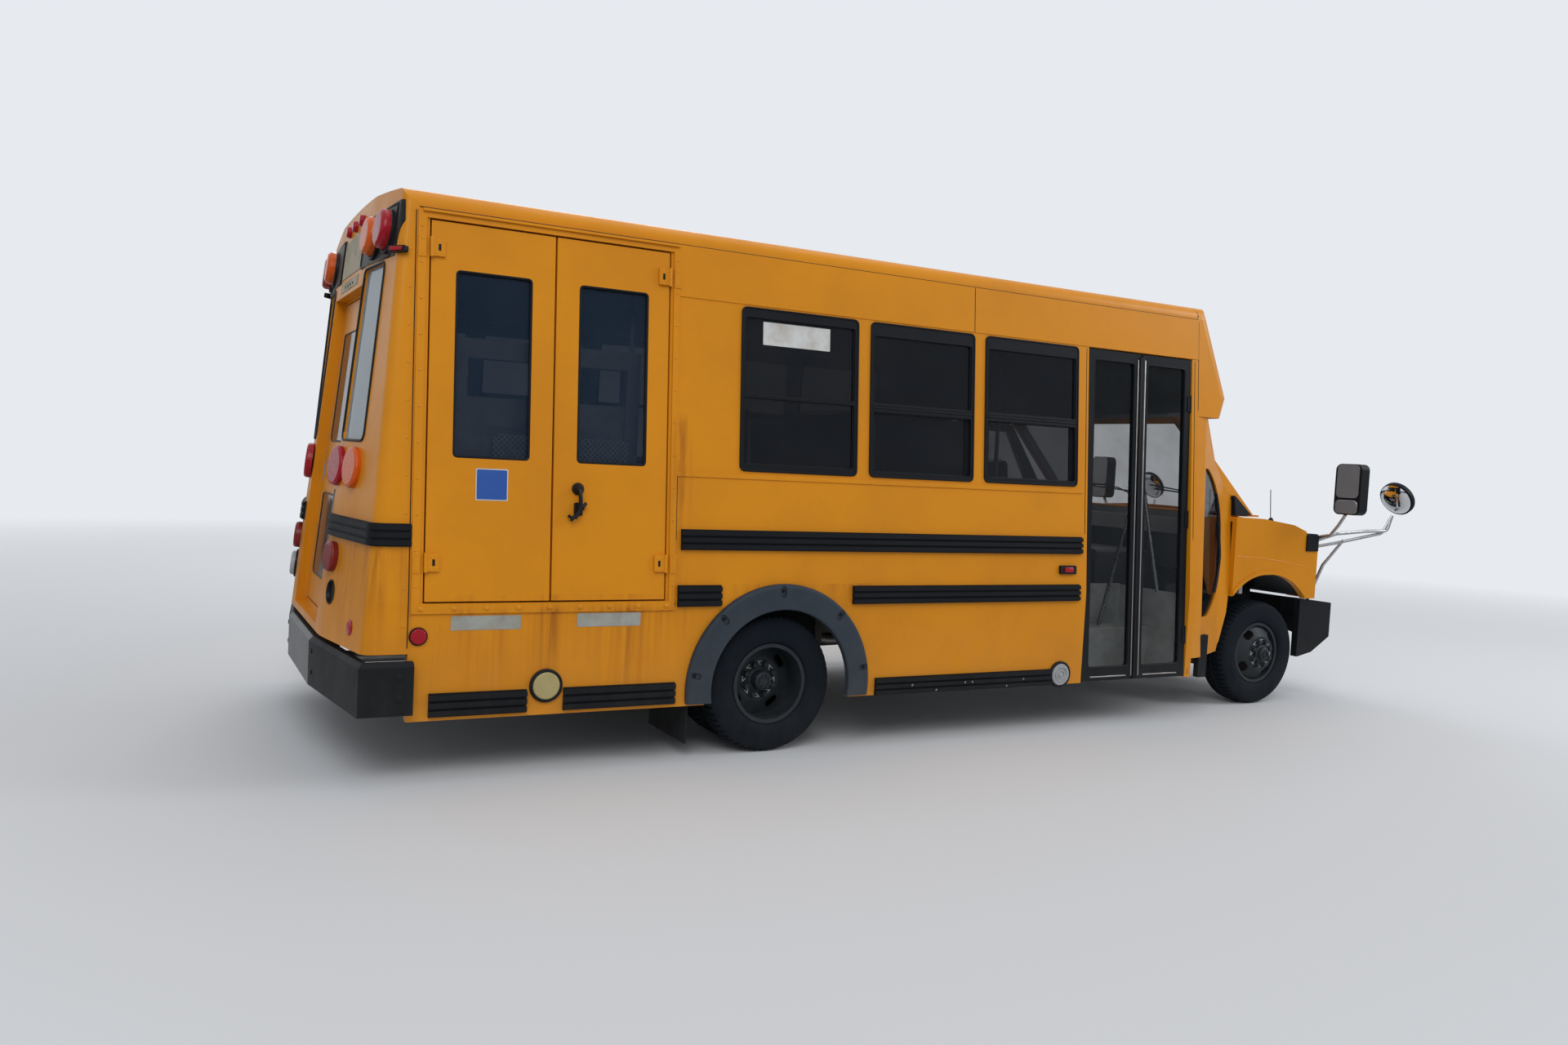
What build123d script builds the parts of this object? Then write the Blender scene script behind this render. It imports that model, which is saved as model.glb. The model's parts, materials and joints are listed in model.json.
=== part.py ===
from build123d import *
from math import atan2, cos, degrees, radians, sin, tan
import os

os.makedirs("parts", exist_ok=True)

# Short school bus: a wide passenger body on a van cab chassis with twin rear wheels.
# X points forward, Y to the left, Z up. The origin is on the ground under the middle of the bus.
# Stations are distances forward of the rear axle, in millimetres.

# Driving dimensions
wheelbase = 4039
rear_axle_x = -1492
tyre_radius = 366
body_half = 1219
knee_z = 830
wall_lean = 4.3
wall_thick = 45
eave_z = 2620
crown_z = 2755
skirt_z = 283
floor_z = 820
gap = 8

body_rear = -1889
body_front = 3091
entrance_start = 2145
entrance_end = 3039
entrance_top = 2344
lift_start = -1824
lift_split = -1238
lift_end = -653
lift_top = 2563
lift_bottom = 831
frame_start = -1885
frame_end = -598
frame_bottom = 777
frame_top = 2606
frame_out = 10
hinge_room = 22
window_bottom = 1489
window_top = 2343
window_width = 716
window_pitch = 794
first_window = -245
driver_wall_end = 2665
cap_lip_z = 1985

RIGHT = 1
LEFT = -1
SIDES = (("right", RIGHT), ("left", LEFT))
REACH = 1500


def at(station):
    """X of a distance measured forward from the rear axle."""
    return rear_axle_x + station


def wall_y(z):
    """Half width of the body's outside face: upright skirt, then leaning in above the knee."""
    return body_half - max(0, z - knee_z) * tan(radians(wall_lean))


def entrance_y(z):
    """Half width of the entrance doors' outside face, one flat plane from skirt to header."""
    bottom = skirt_z - 3
    return body_half - (z - bottom) * tan(radians(3.25))


def van_y(z):
    """Half width of the van cab's side: fullest at the belt, leaning in above it."""
    # columns: height, half width
    levels = ((250, 975), (404, 985), (700, 1003), (1320, 1000), (2000, 880), (2700, 760))
    for (z0, y0), (z1, y1) in zip(levels, levels[1:]):
        if z <= z1:
            return y0 + (y1 - y0) * (z - z0) / (z1 - z0)
    return levels[-1][1]


def slab(side, x0, z0, z1, face, thick, inset=0, knees=()):
    """Cross-section of a side panel between two heights, on the plane X = x0."""
    levels = [z0] + [z for z in knees if z0 < z < z1] + [z1]
    outer = [(-side * (face(z) - inset), z) for z in levels]
    inner = [(-side * (face(z) - inset - thick), z) for z in reversed(levels)]
    with BuildSketch(Plane.YZ.offset(x0)) as section:
        with BuildLine():
            Polyline(*outer, *inner, close=True)
        make_face()
    return section.sketch


def side_rect(x0, x1, z0, z1, radius):
    """Rounded rectangle seen from the side, on the centre plane."""
    with BuildSketch(Plane.XZ) as outline:
        with Locations(((x0 + x1) / 2, (z0 + z1) / 2)):
            RectangleRounded(x1 - x0, z1 - z0, radius)
    return outline.sketch


def pane(side, x0, x1, z0, z1, face, thick, inset, radius):
    """Rounded piece of a side panel: window pane, frame blank or door skin."""
    with BuildPart() as piece:
        extrude(slab(side, x0, z0, z1, face, thick, inset=inset), amount=x1 - x0)
        extrude(side_rect(x0, x1, z0, z1, radius), amount=side * REACH, mode=Mode.INTERSECT)
    return piece.part


def side_shape(*points):
    """Straight-edged outline seen from the side, on the centre plane."""
    with BuildSketch(Plane.XZ) as outline:
        with BuildLine():
            Polyline(*points, close=True)
        make_face()
    return outline.sketch


def save(piece, name):
    piece.part.label = name
    export_step(piece.part, f"parts/{name}.step")


def block(x0, x1, y0, y1, z0, z1, mode=Mode.ADD):
    """Plain block between two corners, added to the piece in hand."""
    with Locations(((x0 + x1) / 2, (y0 + y1) / 2, (z0 + z1) / 2)):
        Box(x1 - x0, y1 - y0, z1 - z0, mode=mode)


# Wall outline heights used by every side panel
KNEES = (knee_z,)
left_windows = [first_window + window_pitch * k for k in (-2, -1, 0, 1, 2)]
right_windows = [first_window + window_pitch * k for k in (0, 1, 2)]
arch_x = at(28)
arch_z = 361
arch_inner = 410
arch_outer = 545


def lift_frame():
    """Flat frame standing proud round the lift doorway, with room at its sides for the turning door edges."""
    with BuildPart() as band:
        extrude(slab(RIGHT, at(frame_start), frame_bottom, frame_top, wall_y, frame_out, inset=-frame_out,
                     knees=KNEES), amount=frame_end - frame_start)
        extrude(side_rect(at(lift_start - hinge_room), at(lift_end + hinge_room), lift_bottom - gap,
                          lift_top + gap, 4), amount=REACH, mode=Mode.SUBTRACT)
    return band.part


# Panels that lap over the wall: the brow above the windows and the rail under them
brow = (2354, 2614, 4)
sill_rail = (1449, 1473, 6)


def lapped(side, start, end, panel):
    """Panel that stands a little proud of a side wall between two stations."""
    low, high, proud = panel
    return extrude(slab(side, at(start), low, high, wall_y, proud, inset=-proud), amount=end - start)


# Right wall, with the lift doorway, three windows, the entrance doorway and the wheel arch
with BuildPart() as right_wall:
    extrude(slab(RIGHT, at(body_rear), skirt_z, eave_z, wall_y, wall_thick, knees=KNEES),
            amount=body_front - body_rear)
    lapped(RIGHT, frame_end, body_front, brow)
    lapped(RIGHT, frame_end, 2106, sill_rail)
    add(lift_frame())
    # Drip moulding over the lift doorway
    lapped(RIGHT, frame_start + 20, frame_end - 9, (frame_top - 8, frame_top + 4, 22))
    extrude(side_rect(at(lift_start - gap), at(lift_end + gap), lift_bottom - gap, lift_top + gap, 4),
            amount=REACH, mode=Mode.SUBTRACT)
    extrude(side_rect(at(entrance_start), at(entrance_end), skirt_z - 200, entrance_top + gap, 4),
            amount=REACH, mode=Mode.SUBTRACT)
    for start in right_windows:
        extrude(side_rect(at(start), at(start + window_width), window_bottom, window_top, 30),
                amount=REACH, mode=Mode.SUBTRACT)
    with BuildSketch(Plane.XZ):
        with Locations((arch_x, arch_z)):
            Circle(arch_inner + 30)
    extrude(amount=REACH, mode=Mode.SUBTRACT)
save(right_wall, "right_wall")

# Left wall, with five windows, cut short behind the driver's door but carried over it
with BuildPart() as left_wall:
    extrude(slab(LEFT, at(body_rear), skirt_z, eave_z, wall_y, wall_thick, knees=KNEES),
            amount=driver_wall_end - body_rear)
    extrude(slab(LEFT, at(driver_wall_end), cap_lip_z + 25, eave_z, wall_y, wall_thick),
            amount=body_front - driver_wall_end)
    lapped(LEFT, body_rear, body_front, brow)
    lapped(LEFT, body_rear, driver_wall_end - 60, sill_rail)
    for start in left_windows:
        extrude(side_rect(at(start), at(start + window_width), window_bottom, window_top, 30),
                amount=-REACH, mode=Mode.SUBTRACT)
    with BuildSketch(Plane.XZ):
        with Locations((arch_x, arch_z)):
            Circle(arch_inner + 30)
    extrude(amount=-REACH, mode=Mode.SUBTRACT)
    block(at(driver_wall_end - 40), at(driver_wall_end), 955, 1110, 404, cap_lip_z + 55)
    block(at(driver_wall_end), at(body_front), 905, 1090, cap_lip_z + 25, cap_lip_z + 55)
save(left_wall, "left_wall")


def body_section(x, inset, bottom):
    """Outline of the body above a height: leaning sides, rounded shoulders and a crowned roof."""
    half = wall_y(eave_z) - inset
    knee = max(bottom, knee_z)
    shoulder = half - 74 + inset * 0.3
    shoulder_z = 2700 - inset * 0.9
    haunch = (half - 18, eave_z + 52 - inset * 0.7)
    with BuildSketch(Plane.YZ.offset(x)) as section:
        with BuildLine():
            ThreePointArc((-half, eave_z), (-haunch[0], haunch[1]), (-shoulder, shoulder_z))
            ThreePointArc((-shoulder, shoulder_z), (0, crown_z - inset), (shoulder, shoulder_z))
            ThreePointArc((shoulder, shoulder_z), haunch, (half, eave_z))
            if bottom < eave_z:
                Polyline((half, eave_z), (wall_y(knee) - inset, knee), (wall_y(bottom) - inset, bottom - 1),
                         (inset - wall_y(bottom), bottom - 1), (inset - wall_y(knee), knee), (-half, eave_z))
            else:
                Line((half, eave_z), (-half, eave_z))
        make_face()
    return section.sketch


# Roof panel between the two caps
with BuildPart() as roof_panel:
    extrude(body_section(at(body_rear), 0, eave_z), amount=body_front - body_rear)
    extrude(body_section(at(body_rear), wall_thick, eave_z), amount=body_front - body_rear, mode=Mode.SUBTRACT)
save(roof_panel, "roof_panel")


def cap_plan(z, half, corner_x, nose_x, back_x, flat=0.45, corner_radius=90, bow_radius=2400):
    """Plan outline of an end cap: straight sides, rounded corners and a bowed end."""
    with BuildSketch(Plane.XY.offset(z)) as outline:
        with BuildLine():
            Polyline((back_x, -half), (corner_x, -half), (nose_x, -half * flat),
                     (nose_x, half * flat), (corner_x, half), (back_x, half), close=True)
        make_face()
        bends = outline.vertices().filter_by(lambda v: abs(v.X - nose_x) < 1)
        fillet(bends, bow_radius)
        corners = outline.vertices().filter_by(lambda v: abs(v.X - corner_x) < 1 and abs(abs(v.Y) - half) < 1)
        fillet(corners, corner_radius)
    return outline.sketch


# Front cap: a hollow brow over the windshield, open at the back to the saloon and below to the cab
# Columns: height, half width, corner station, nose station, corner radius
front_levels = (
    (1985, 1132, 3335, 3440, 90),
    (2120, 1122, 3385, 3485, 90),
    (2620, 1084, 3200, 3330, 90),
    (2760, 1060, 3130, 3250, 30),
)
hollow_levels = (
    (2010, 1087, 3285, 3395, 30),
    (2120, 1077, 3335, 3440, 30),
    (2640, 1010, 3150, 3280, 30),
)


def cap_loft(levels, back):
    """Solid through the plans of an end cap at several heights."""
    with BuildPart() as solid:
        for z, half, corner, nose, radius in levels:
            add(cap_plan(z, half, at(corner), at(nose), at(back), corner_radius=radius))
        loft(ruled=True)
    return solid.part


with BuildPart() as front_cap:
    add(cap_loft(front_levels, body_front))
    extrude(body_section(at(body_front), 0, cap_lip_z - 20), amount=600, mode=Mode.INTERSECT)
    add(cap_loft(hollow_levels, body_front - 5), mode=Mode.SUBTRACT)
    block(at(body_front - 5), at(3170), -880, 880, cap_lip_z - 10, 2030, mode=Mode.SUBTRACT)
save(front_cap, "front_cap")

# Rear cap: angled corners that stand proud of the recessed emergency door, leaning forward as they rise
rear_lean = 0.1
rear_foot_z = 594
rear_foot = -2190
door_recess = 55
rear_door_half = 430
rear_door_bottom = 660
rear_door_top = 2290


def rear_x(z):
    """Station of the rear cap's outside face on the centre line."""
    return rear_foot + (z - rear_foot_z) * rear_lean


# Columns: height, half width, how far the corner lies ahead of the centre, corner radius
rear_levels = ((rear_foot_z, body_half, 105, 60), (knee_z, body_half, 100, 60),
               (eave_z, wall_y(eave_z), 35, 40), (2770, wall_y(eave_z) - 20, 35, 20))


def rear_solid(inset):
    """Solid inside the rear cap's outside face, drawn in by an even amount."""
    with BuildPart() as solid:
        for z, half, sweep, radius in rear_levels:
            back = rear_x(z) + inset
            bend = min(max(15, radius - inset), 0.9 * (body_rear - back - sweep))
            add(cap_plan(z, half - inset, at(back + sweep), at(back), at(body_rear), flat=0.5,
                         corner_radius=bend, bow_radius=900))
        loft(ruled=True)
        extrude(body_section(at(-2300), inset, rear_foot_z), amount=450, mode=Mode.INTERSECT)
    return solid.part


def rear_lean_shape(ahead, depth, z0, z1):
    """Side outline of a slice parallel to the rear face, some way ahead of it."""
    return side_shape((at(rear_x(z0) + ahead), z0), (at(rear_x(z0) + ahead + depth), z0),
                      (at(rear_x(z1) + ahead + depth), z1), (at(rear_x(z1) + ahead), z1))


def rear_rect(y0, y1, z0, z1, radius):
    """Rounded rectangle seen from behind, well aft of the bus."""
    with BuildSketch(Plane.YZ.offset(at(-2400))) as outline:
        with Locations(((y0 + y1) / 2, (z0 + z1) / 2)):
            RectangleRounded(y1 - y0, z1 - z0, radius)
    return outline.sketch


corner_window = (500, 880, 1550, 2375, 45)
recess_half = 452
shell_thick = 40

with BuildPart() as rear_cap:
    add(rear_solid(0))
    add(rear_solid(shell_thick), mode=Mode.SUBTRACT)
    extrude(rear_lean_shape(30, 75, rear_foot_z, 2420), amount=520, both=True)
    extrude(rear_lean_shape(-60, 60 + door_recess, rear_door_bottom - 30, rear_door_top + 25),
            amount=recess_half, both=True, mode=Mode.SUBTRACT)
    extrude(rear_rect(-rear_door_half - gap, rear_door_half + gap, rear_door_bottom - gap,
                      rear_door_top + gap, 6), amount=700, mode=Mode.SUBTRACT)
    near, far, low, high, radius = corner_window
    for side in (RIGHT, LEFT):
        extrude(rear_rect(*sorted((-side * near, -side * far)), low, high, radius),
                amount=700, mode=Mode.SUBTRACT)
    # Empty hole of a lamp that is missing on the right
    extrude(rear_rect(-692 - 60, -692 + 60, 815 - 60, 815 + 60, 59), amount=330, mode=Mode.SUBTRACT)
save(rear_cap, "rear_cap")

# Side window frames: a black ring with a mid rail. One window on each side is hinged as a way out, with slim
# bars, and the others have a deep header and a lower sash that is set back
# Columns: header bar, bottom bar, side bars, bottom and top of the mid rail, sash bar
way_out = (52, 38, 24, 1874, 1890, 0)
sliding = (74, 30, 22, 1848, 1896, 22)
side_windows = [(side, start, way_out if start == first_window else sliding)
                for side, starts in ((RIGHT, right_windows), (LEFT, left_windows)) for start in starts]
frame_depth = 38
sash_step = 14


def lights(kind):
    """The two openings of a window: bottom, top, side margin and depth of the glass."""
    header, sill, sides, rail_low, rail_high, sash = kind
    return ((window_bottom + sill, rail_low, sides + sash, 12 + sash / 2),
            (rail_high, window_top - header, sides, 12))


with BuildPart() as window_frames:
    for side, start, kind in side_windows:
        add(pane(side, at(start), at(start + window_width), window_bottom, window_top, wall_y, frame_depth, -5, 30))
    for side, start, kind in side_windows:
        for low, high, margin, depth in lights(kind):
            extrude(side_rect(at(start + margin), at(start + window_width - margin), low, high, 14),
                    amount=side * REACH, mode=Mode.SUBTRACT)
        if kind == sliding:
            low, high, margin, depth = lights(kind)[0]
            near = start + kind[2]
            far = start + window_width - kind[2]
            add(pane(side, at(near), at(far), low, high, wall_y, 10 + sash_step, -10, 14), mode=Mode.SUBTRACT)
save(window_frames, "window_frames")

glass_thick = 5

# Lift doors: two leaves hinged on their outer edges with exposed barrels
hinge_out = 14
barrel_radius = 9
# Columns: name, start station, end station, hinge station, window start, window end
lift_leaves = (
    ("lift_door_rear", lift_start, lift_split - 5, lift_start, -1710, -1352),
    ("lift_door_front", lift_split + 5, lift_end, lift_end, -1119, -763),
)
lift_pane = (1490, 2348)
for name, start, end, hinge, pane_start, pane_end in lift_leaves:
    inward = 1 if hinge == start else -1
    with BuildPart() as leaf:
        extrude(slab(RIGHT, at(start), lift_bottom, lift_top, wall_y, wall_thick), amount=end - start)
        extrude(side_rect(at(pane_start), at(pane_end), *lift_pane, 20), amount=REACH, mode=Mode.SUBTRACT)
        for z in (1010, 2440):
            barrel = Plane(origin=(at(hinge), -wall_y(z) - hinge_out, z),
                           x_dir=(1, 0, 0), z_dir=(0, sin(radians(wall_lean)), cos(radians(wall_lean))))
            with Locations(barrel):
                Cylinder(barrel_radius, 90)
                with Locations((inward * 30, 7, 0)):
                    Box(60, 16, 80)
    save(leaf, name)
    with BuildPart() as leaf_glass:
        add(pane(RIGHT, at(pane_start), at(pane_end), *lift_pane, wall_y, glass_thick, 14, 20))
    save(leaf_glass, name + "_glass")

# Entrance doors: two framed glass leaves hinged on their outer edges
entrance_mid = (entrance_start + entrance_end) / 2
leaf_frame = 48
# Columns: name, start station, end station
entrance_leaves = (
    ("entrance_leaf_rear", entrance_start + gap, entrance_mid - 6),
    ("entrance_leaf_front", entrance_mid + 6, entrance_end - gap),
)
for name, start, end in entrance_leaves:
    hinge, inward = (start, 1) if end < entrance_mid else (end, -1)
    with BuildPart() as leaf:
        extrude(slab(RIGHT, at(start), skirt_z + 7, entrance_top, entrance_y, 36), amount=end - start)
        extrude(side_rect(at(start + leaf_frame), at(end - leaf_frame), skirt_z + 90, entrance_top - 60, 25),
                amount=REACH, mode=Mode.SUBTRACT)
        for z in (560, 1310, 2060):
            pin = Plane(origin=(at(hinge), -entrance_y(z) - 4, z),
                        x_dir=(1, 0, 0), z_dir=(0, sin(radians(3.25)), cos(radians(3.25))))
            with Locations(pin):
                Cylinder(5, 110)
                with Locations((inward * 12, 3, 0)):
                    Box(24, 8, 100)
    save(leaf, name)
    with BuildPart() as leaf_glass:
        add(pane(RIGHT, at(start + leaf_frame), at(end - leaf_frame), skirt_z + 90, entrance_top - 60, entrance_y,
                 glass_thick, 14, 25))
    save(leaf_glass, name + "_glass")

# Rear emergency door, hinged on its right edge
rear_panes = ((820, 1240), (1545, 2110))
with BuildPart() as rear_door:
    extrude(rear_lean_shape(door_recess, wall_thick, rear_door_bottom, rear_door_top),
            amount=rear_door_half, both=True)
    for low, high in rear_panes:
        extrude(rear_rect(-280, 280, low, high, 30), amount=700, mode=Mode.SUBTRACT)
    for z in (800, 1450, 2150):
        pin = Plane(origin=(at(rear_x(z) + door_recess - 4), -rear_door_half, z), x_dir=(0, 1, 0),
                    z_dir=(rear_lean, 0, 1))
        with Locations(pin):
            Cylinder(6, 120)
            with Locations((20, -3, 0)):
                Box(40, 8, 100)
    # Half-round handle pocket beside the left edge
    with Locations(Location((at(rear_x(1375) + door_recess), 400, 1375), (0, 90, 0))):
        Cylinder(68, 50, arc_size=180, rotation=(0, 0, 180), mode=Mode.SUBTRACT)
save(rear_door, "rear_door")
with BuildPart() as rear_door_glass:
    extrude(rear_lean_shape(door_recess + 14, glass_thick, rear_door_bottom, rear_door_top), amount=280, both=True)
    with BuildSketch(Plane.YZ.offset(at(-2400))):
        for low, high in rear_panes:
            with Locations((0, (low + high) / 2)):
                RectangleRounded(560, high - low, 30)
    extrude(amount=700, mode=Mode.INTERSECT)
save(rear_door_glass, "rear_door_glass")

# Floor deck with cross sills and the stepwell, open over the driver's area
deck_thick = 40
rail_top = 680
cab_floor_z = 600
with BuildPart() as floor_deck:
    block(at(-2030), at(driver_wall_end - 40), -1165, 1165, floor_z - deck_thick, floor_z)
    for station in (-1980, -1500, -980, -520, 580, 1100, 1620, 2090):
        block(at(station), at(station + 45), -1150, 1150, rail_top, floor_z - deck_thick)
    block(at(entrance_start), at(entrance_end), -1200, -600, 680, floor_z + 5, mode=Mode.SUBTRACT)
    # Stepwell: two treads with risers and side plates under the entrance doors
    block(at(entrance_start), at(entrance_end), -1135, -870, 300, 320)
    block(at(entrance_start), at(entrance_end), -890, -870, 320, 560)
    block(at(entrance_start), at(entrance_end), -890, -600, 540, 560)
    block(at(entrance_start), at(entrance_end), -620, -600, 560, floor_z)
    for start in (entrance_start, entrance_end - 20):
        block(at(start), at(start + 20), -1135, -870, 320, floor_z)
        block(at(start), at(start + 20), -870, -620, 560, floor_z)
save(floor_deck, "floor_deck")

# Frame rails: two deep side rails dropped under the engine, with cross members
rail_y = 430
rail_wide = 70
with BuildPart() as frame_rails:
    for side in (RIGHT, LEFT):
        extrude(side_shape((at(-2070), 520), (at(2150), 520), (at(2500), 410), (at(4600), 410), (at(4600), 540),
                           (at(2500), 540), (at(2150), rail_top), (at(-2070), rail_top)),
                amount=side * (rail_y + rail_wide / 2))
    extrude(side_shape((at(-2200), 300), (at(4700), 300), (at(4700), 800), (at(-2200), 800)),
            amount=rail_y - rail_wide / 2, both=True, mode=Mode.SUBTRACT)
    for station, low, high in ((-2050, 540, 660), (-900, 545, 660), (900, 545, 660), (1990, 545, 660),
                               (4480, 430, 530)):
        block(at(station), at(station + 60), -rail_y, rail_y, low, high)
save(frame_rails, "frame_rails")

# Rear axle: tube, differential housing and the drive shaft forward of it
axle_z = tyre_radius
with BuildPart() as rear_axle:
    with Locations(Location((at(0), 0, axle_z), (90, 0, 0))):
        Cylinder(62, 1500)
        Cylinder(38, 1900)
    with Locations((at(0), 0, axle_z)):
        Sphere(175)
    with Locations(Location((at(180), 0, axle_z + 10), (0, 90, 0))):
        Cylinder(75, 240)
    with Locations(Location((at(1290), 0, 398), (0, 90 - degrees(atan2(44, 2100)), 0))):
        Cylinder(42, 2160)
    for side in (RIGHT, LEFT):
        block(at(-60), at(60), -side * rail_y - 35, -side * rail_y + 35, axle_z, axle_z + 70)
save(rear_axle, "rear_axle")

# Rear leaf springs: one curved pack under each rail, with eyes and hangers
with BuildPart() as leaf_springs:
    for side in (RIGHT, LEFT):
        plane = Plane.XZ.offset(side * rail_y)
        with BuildSketch(plane):
            with BuildLine():
                ThreePointArc((at(-700), 478), (at(0), axle_z + 100), (at(700), 478))
                Line((at(700), 478), (at(700), 462))
                ThreePointArc((at(700), 462), (at(0), axle_z + 70), (at(-700), 462))
                Line((at(-700), 462), (at(-700), 478))
            make_face()
        extrude(amount=32, both=True)
        for station in (-700, 700):
            with Locations(Location((at(station), -side * rail_y, 470), (90, 0, 0))):
                Cylinder(26, 70)
            block(at(station - 22), at(station + 22), -side * rail_y - 35, -side * rail_y + 35, 470, 520)
save(leaf_springs, "leaf_springs")

# Engine and gearbox: one plain heavy block
with BuildPart() as engine_block:
    block(at(3380), at(4150), -270, 270, 560, 980)
    block(at(3380), at(3900), -180, 180, 330, 560)
    with Locations(Location((at(2900), 0, 420), (0, 90, 0))):
        Cylinder(110, 980)
save(engine_block, "engine_block")

# Exhaust: pipe, silencer and a tail that passes over the axle
pipe_y = -240
with BuildPart() as exhaust_pipe:
    with BuildLine() as route:
        FilletPolyline((at(3300), pipe_y, 480), (at(2600), pipe_y, 430), (at(900), pipe_y, 430),
                       (at(520), pipe_y, 490), (at(-560), pipe_y, 490), (at(-900), pipe_y, 420),
                       (at(-2060), pipe_y, 420), radius=120)
    with BuildSketch(Plane(origin=route.line @ 0, z_dir=route.line % 0)):
        Circle(32)
    sweep(path=route.line)
    with Locations(Location((at(1500), pipe_y, 430), (0, 90, 0))):
        Cylinder(85, 760)
save(exhaust_pipe, "exhaust_pipe")

# Fuel tank outside the left rail
with BuildPart() as fuel_tank:
    block(at(900), at(2050), 490, 1090, 340, 670)
    fillet(fuel_tank.edges().filter_by(Axis.X), 60)
save(fuel_tank, "fuel_tank")

# Front suspension: a cross member with upper and lower arms that end round the steering pivot
steer_y = 790
front_x = at(wheelbase)
with BuildPart() as front_suspension:
    block(front_x - 90, front_x + 90, -480, 480, 300, 408)
    for side in (RIGHT, LEFT):
        for low, high in ((215, 245), (487, 515)):
            outer = -side * steer_y
            inner = -side * 475
            with BuildSketch(Plane.XY.offset(low)):
                with BuildLine():
                    Polyline((front_x - 150, inner), (front_x + 150, inner), (front_x + 34, outer),
                             (front_x - 34, outer), close=True)
                make_face()
                with Locations((front_x, outer)):
                    Circle(34)
                    Circle(15, mode=Mode.SUBTRACT)
            extrude(amount=high - low)
        block(front_x - 150, front_x + 150, *sorted((-side * 467, -side * 495)), 215, 515)
save(front_suspension, "front_suspension")


def wheel_plane(cx):
    """Plane through a wheel's centre whose first axis runs along the axle."""
    return Plane(origin=(cx, 0, axle_z), x_dir=(0, 1, 0), z_dir=(1, 0, 0))


def turned(cx, points):
    """Ring turned about a wheel's centre line from points (distance along the axle, radius)."""
    with BuildPart() as ring:
        with BuildSketch(wheel_plane(cx)):
            with BuildLine():
                Polyline(*points, close=True)
            make_face()
        revolve(axis=Axis((cx, 0, axle_z), (0, 1, 0)))
    return ring.part


bead_radius = 203
tyre_sides = 48
# Columns: distance from the tyre's middle, radius
tyre_outline = ((-79.6, 214.6), (-104, 245), (-108, 300), (-72, tyre_radius),
                (72, tyre_radius), (108, 300), (104, 245), (79.6, 214.6))


def tyre_section(cx, y, radius):
    """Many-sided section across a tyre, with a flat at the bottom that meets the road."""
    with BuildSketch(Plane(origin=(cx, y, axle_z), x_dir=(1, 0, 0), z_dir=(0, 1, 0))) as section:
        RegularPolygon(radius, tyre_sides, major_radius=False, rotation=90 + 180 / tyre_sides)
    return section.sketch


def tyre(cx, middle):
    """Plain tyre built up from sections along the axle, light enough for six of them."""
    with BuildPart() as ring:
        for offset_y, radius in tyre_outline:
            add(tyre_section(cx, middle + offset_y, radius))
        loft(ruled=True)
        extrude(tyre_section(cx, middle, bead_radius + 0.4), amount=100, both=True, mode=Mode.SUBTRACT)
    return ring.part


def rim_profile(side, middle, disc, dish):
    """Wheel profile: barrel with two flanges and a disc carried at one distance from its middle."""
    y = middle
    shoulder = y - side * disc
    face = shoulder - side * dish
    return ((y - 88, 214), (y - 80, 214), (y - 80, bead_radius), (y + 80, bead_radius), (y + 80, 214),
            (y + 88, 214), (y + 88, 194), (shoulder + 6, 194), (face + 6, 120), (face + 6, 62),
            (face - 6, 62), (face - 6, 120), (shoulder - 6, 194), (y - 88, 194))


def hand_holes(cx, middle, reach):
    """Four oval cutters through the discs of a wheel, or of a pair of wheels."""
    with BuildPart() as cutters:
        with BuildSketch(Plane.XZ.offset(-middle)):
            with Locations((cx, axle_z)):
                with PolarLocations(158, 4, start_angle=36):
                    SlotOverall(82, 44, rotation=90)
        extrude(amount=reach, both=True)
    return cutters.part


# Columns: distance from the bus's centre plane, radius
front_hub = ((920, 0), (920, 64), (998, 62), (1004, 48), (1024, 46), (1030, 36), (1030, 0))
rear_hub = ((775, 46), (775, 68), (1036, 64), (1042, 52), (1098, 50), (1106, 40), (1106, 0), (1060, 0),
            (1060, 46))

front_wheel_y = 863
outer_dual_y = 1079
inner_dual_y = 787

for name, side in SIDES:
    # Steering knuckle with its spindle and brake disc
    with BuildPart() as knuckle:
        with Locations((front_x, -side * steer_y, axle_z)):
            Box(90, 70, 226)
            Cylinder(12, 298)
        with Locations(Location((front_x, -side * 850, axle_z), (90, 0, 0))):
            Cylinder(36, 140)
        with Locations(Location((front_x, -side * 836, axle_z), (90, 0, 0))):
            Cylinder(160, 22)
    save(knuckle, f"knuckle_{name}")

    front_middle = -side * front_wheel_y
    with BuildPart() as front_tyre:
        add(tyre(front_x, front_middle))
    save(front_tyre, f"front_tyre_{name}")
    with BuildPart() as rim:
        add(turned(front_x, rim_profile(side, front_middle, 60, 55)))
        add(hand_holes(front_x, front_middle, 130), mode=Mode.SUBTRACT)
        add(turned(front_x, [(-side * y, r) for y, r in front_hub]))
    save(rim, f"front_rim_{name}")

    with BuildPart() as tyres:
        for middle in (outer_dual_y, inner_dual_y):
            add(tyre(at(0), -side * middle))
    save(tyres, f"rear_tyres_{name}")
    with BuildPart() as rims:
        add(turned(at(0), rim_profile(side, -side * outer_dual_y, -75, 22)))
        add(turned(at(0), rim_profile(-side, -side * inner_dual_y, -30, -197)))
        add(hand_holes(at(0), -side * (outer_dual_y + inner_dual_y) / 2, 270), mode=Mode.SUBTRACT)
        add(turned(at(0), [(-side * y, r) for y, r in rear_hub]))
    save(rims, f"rear_rims_{name}")

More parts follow.
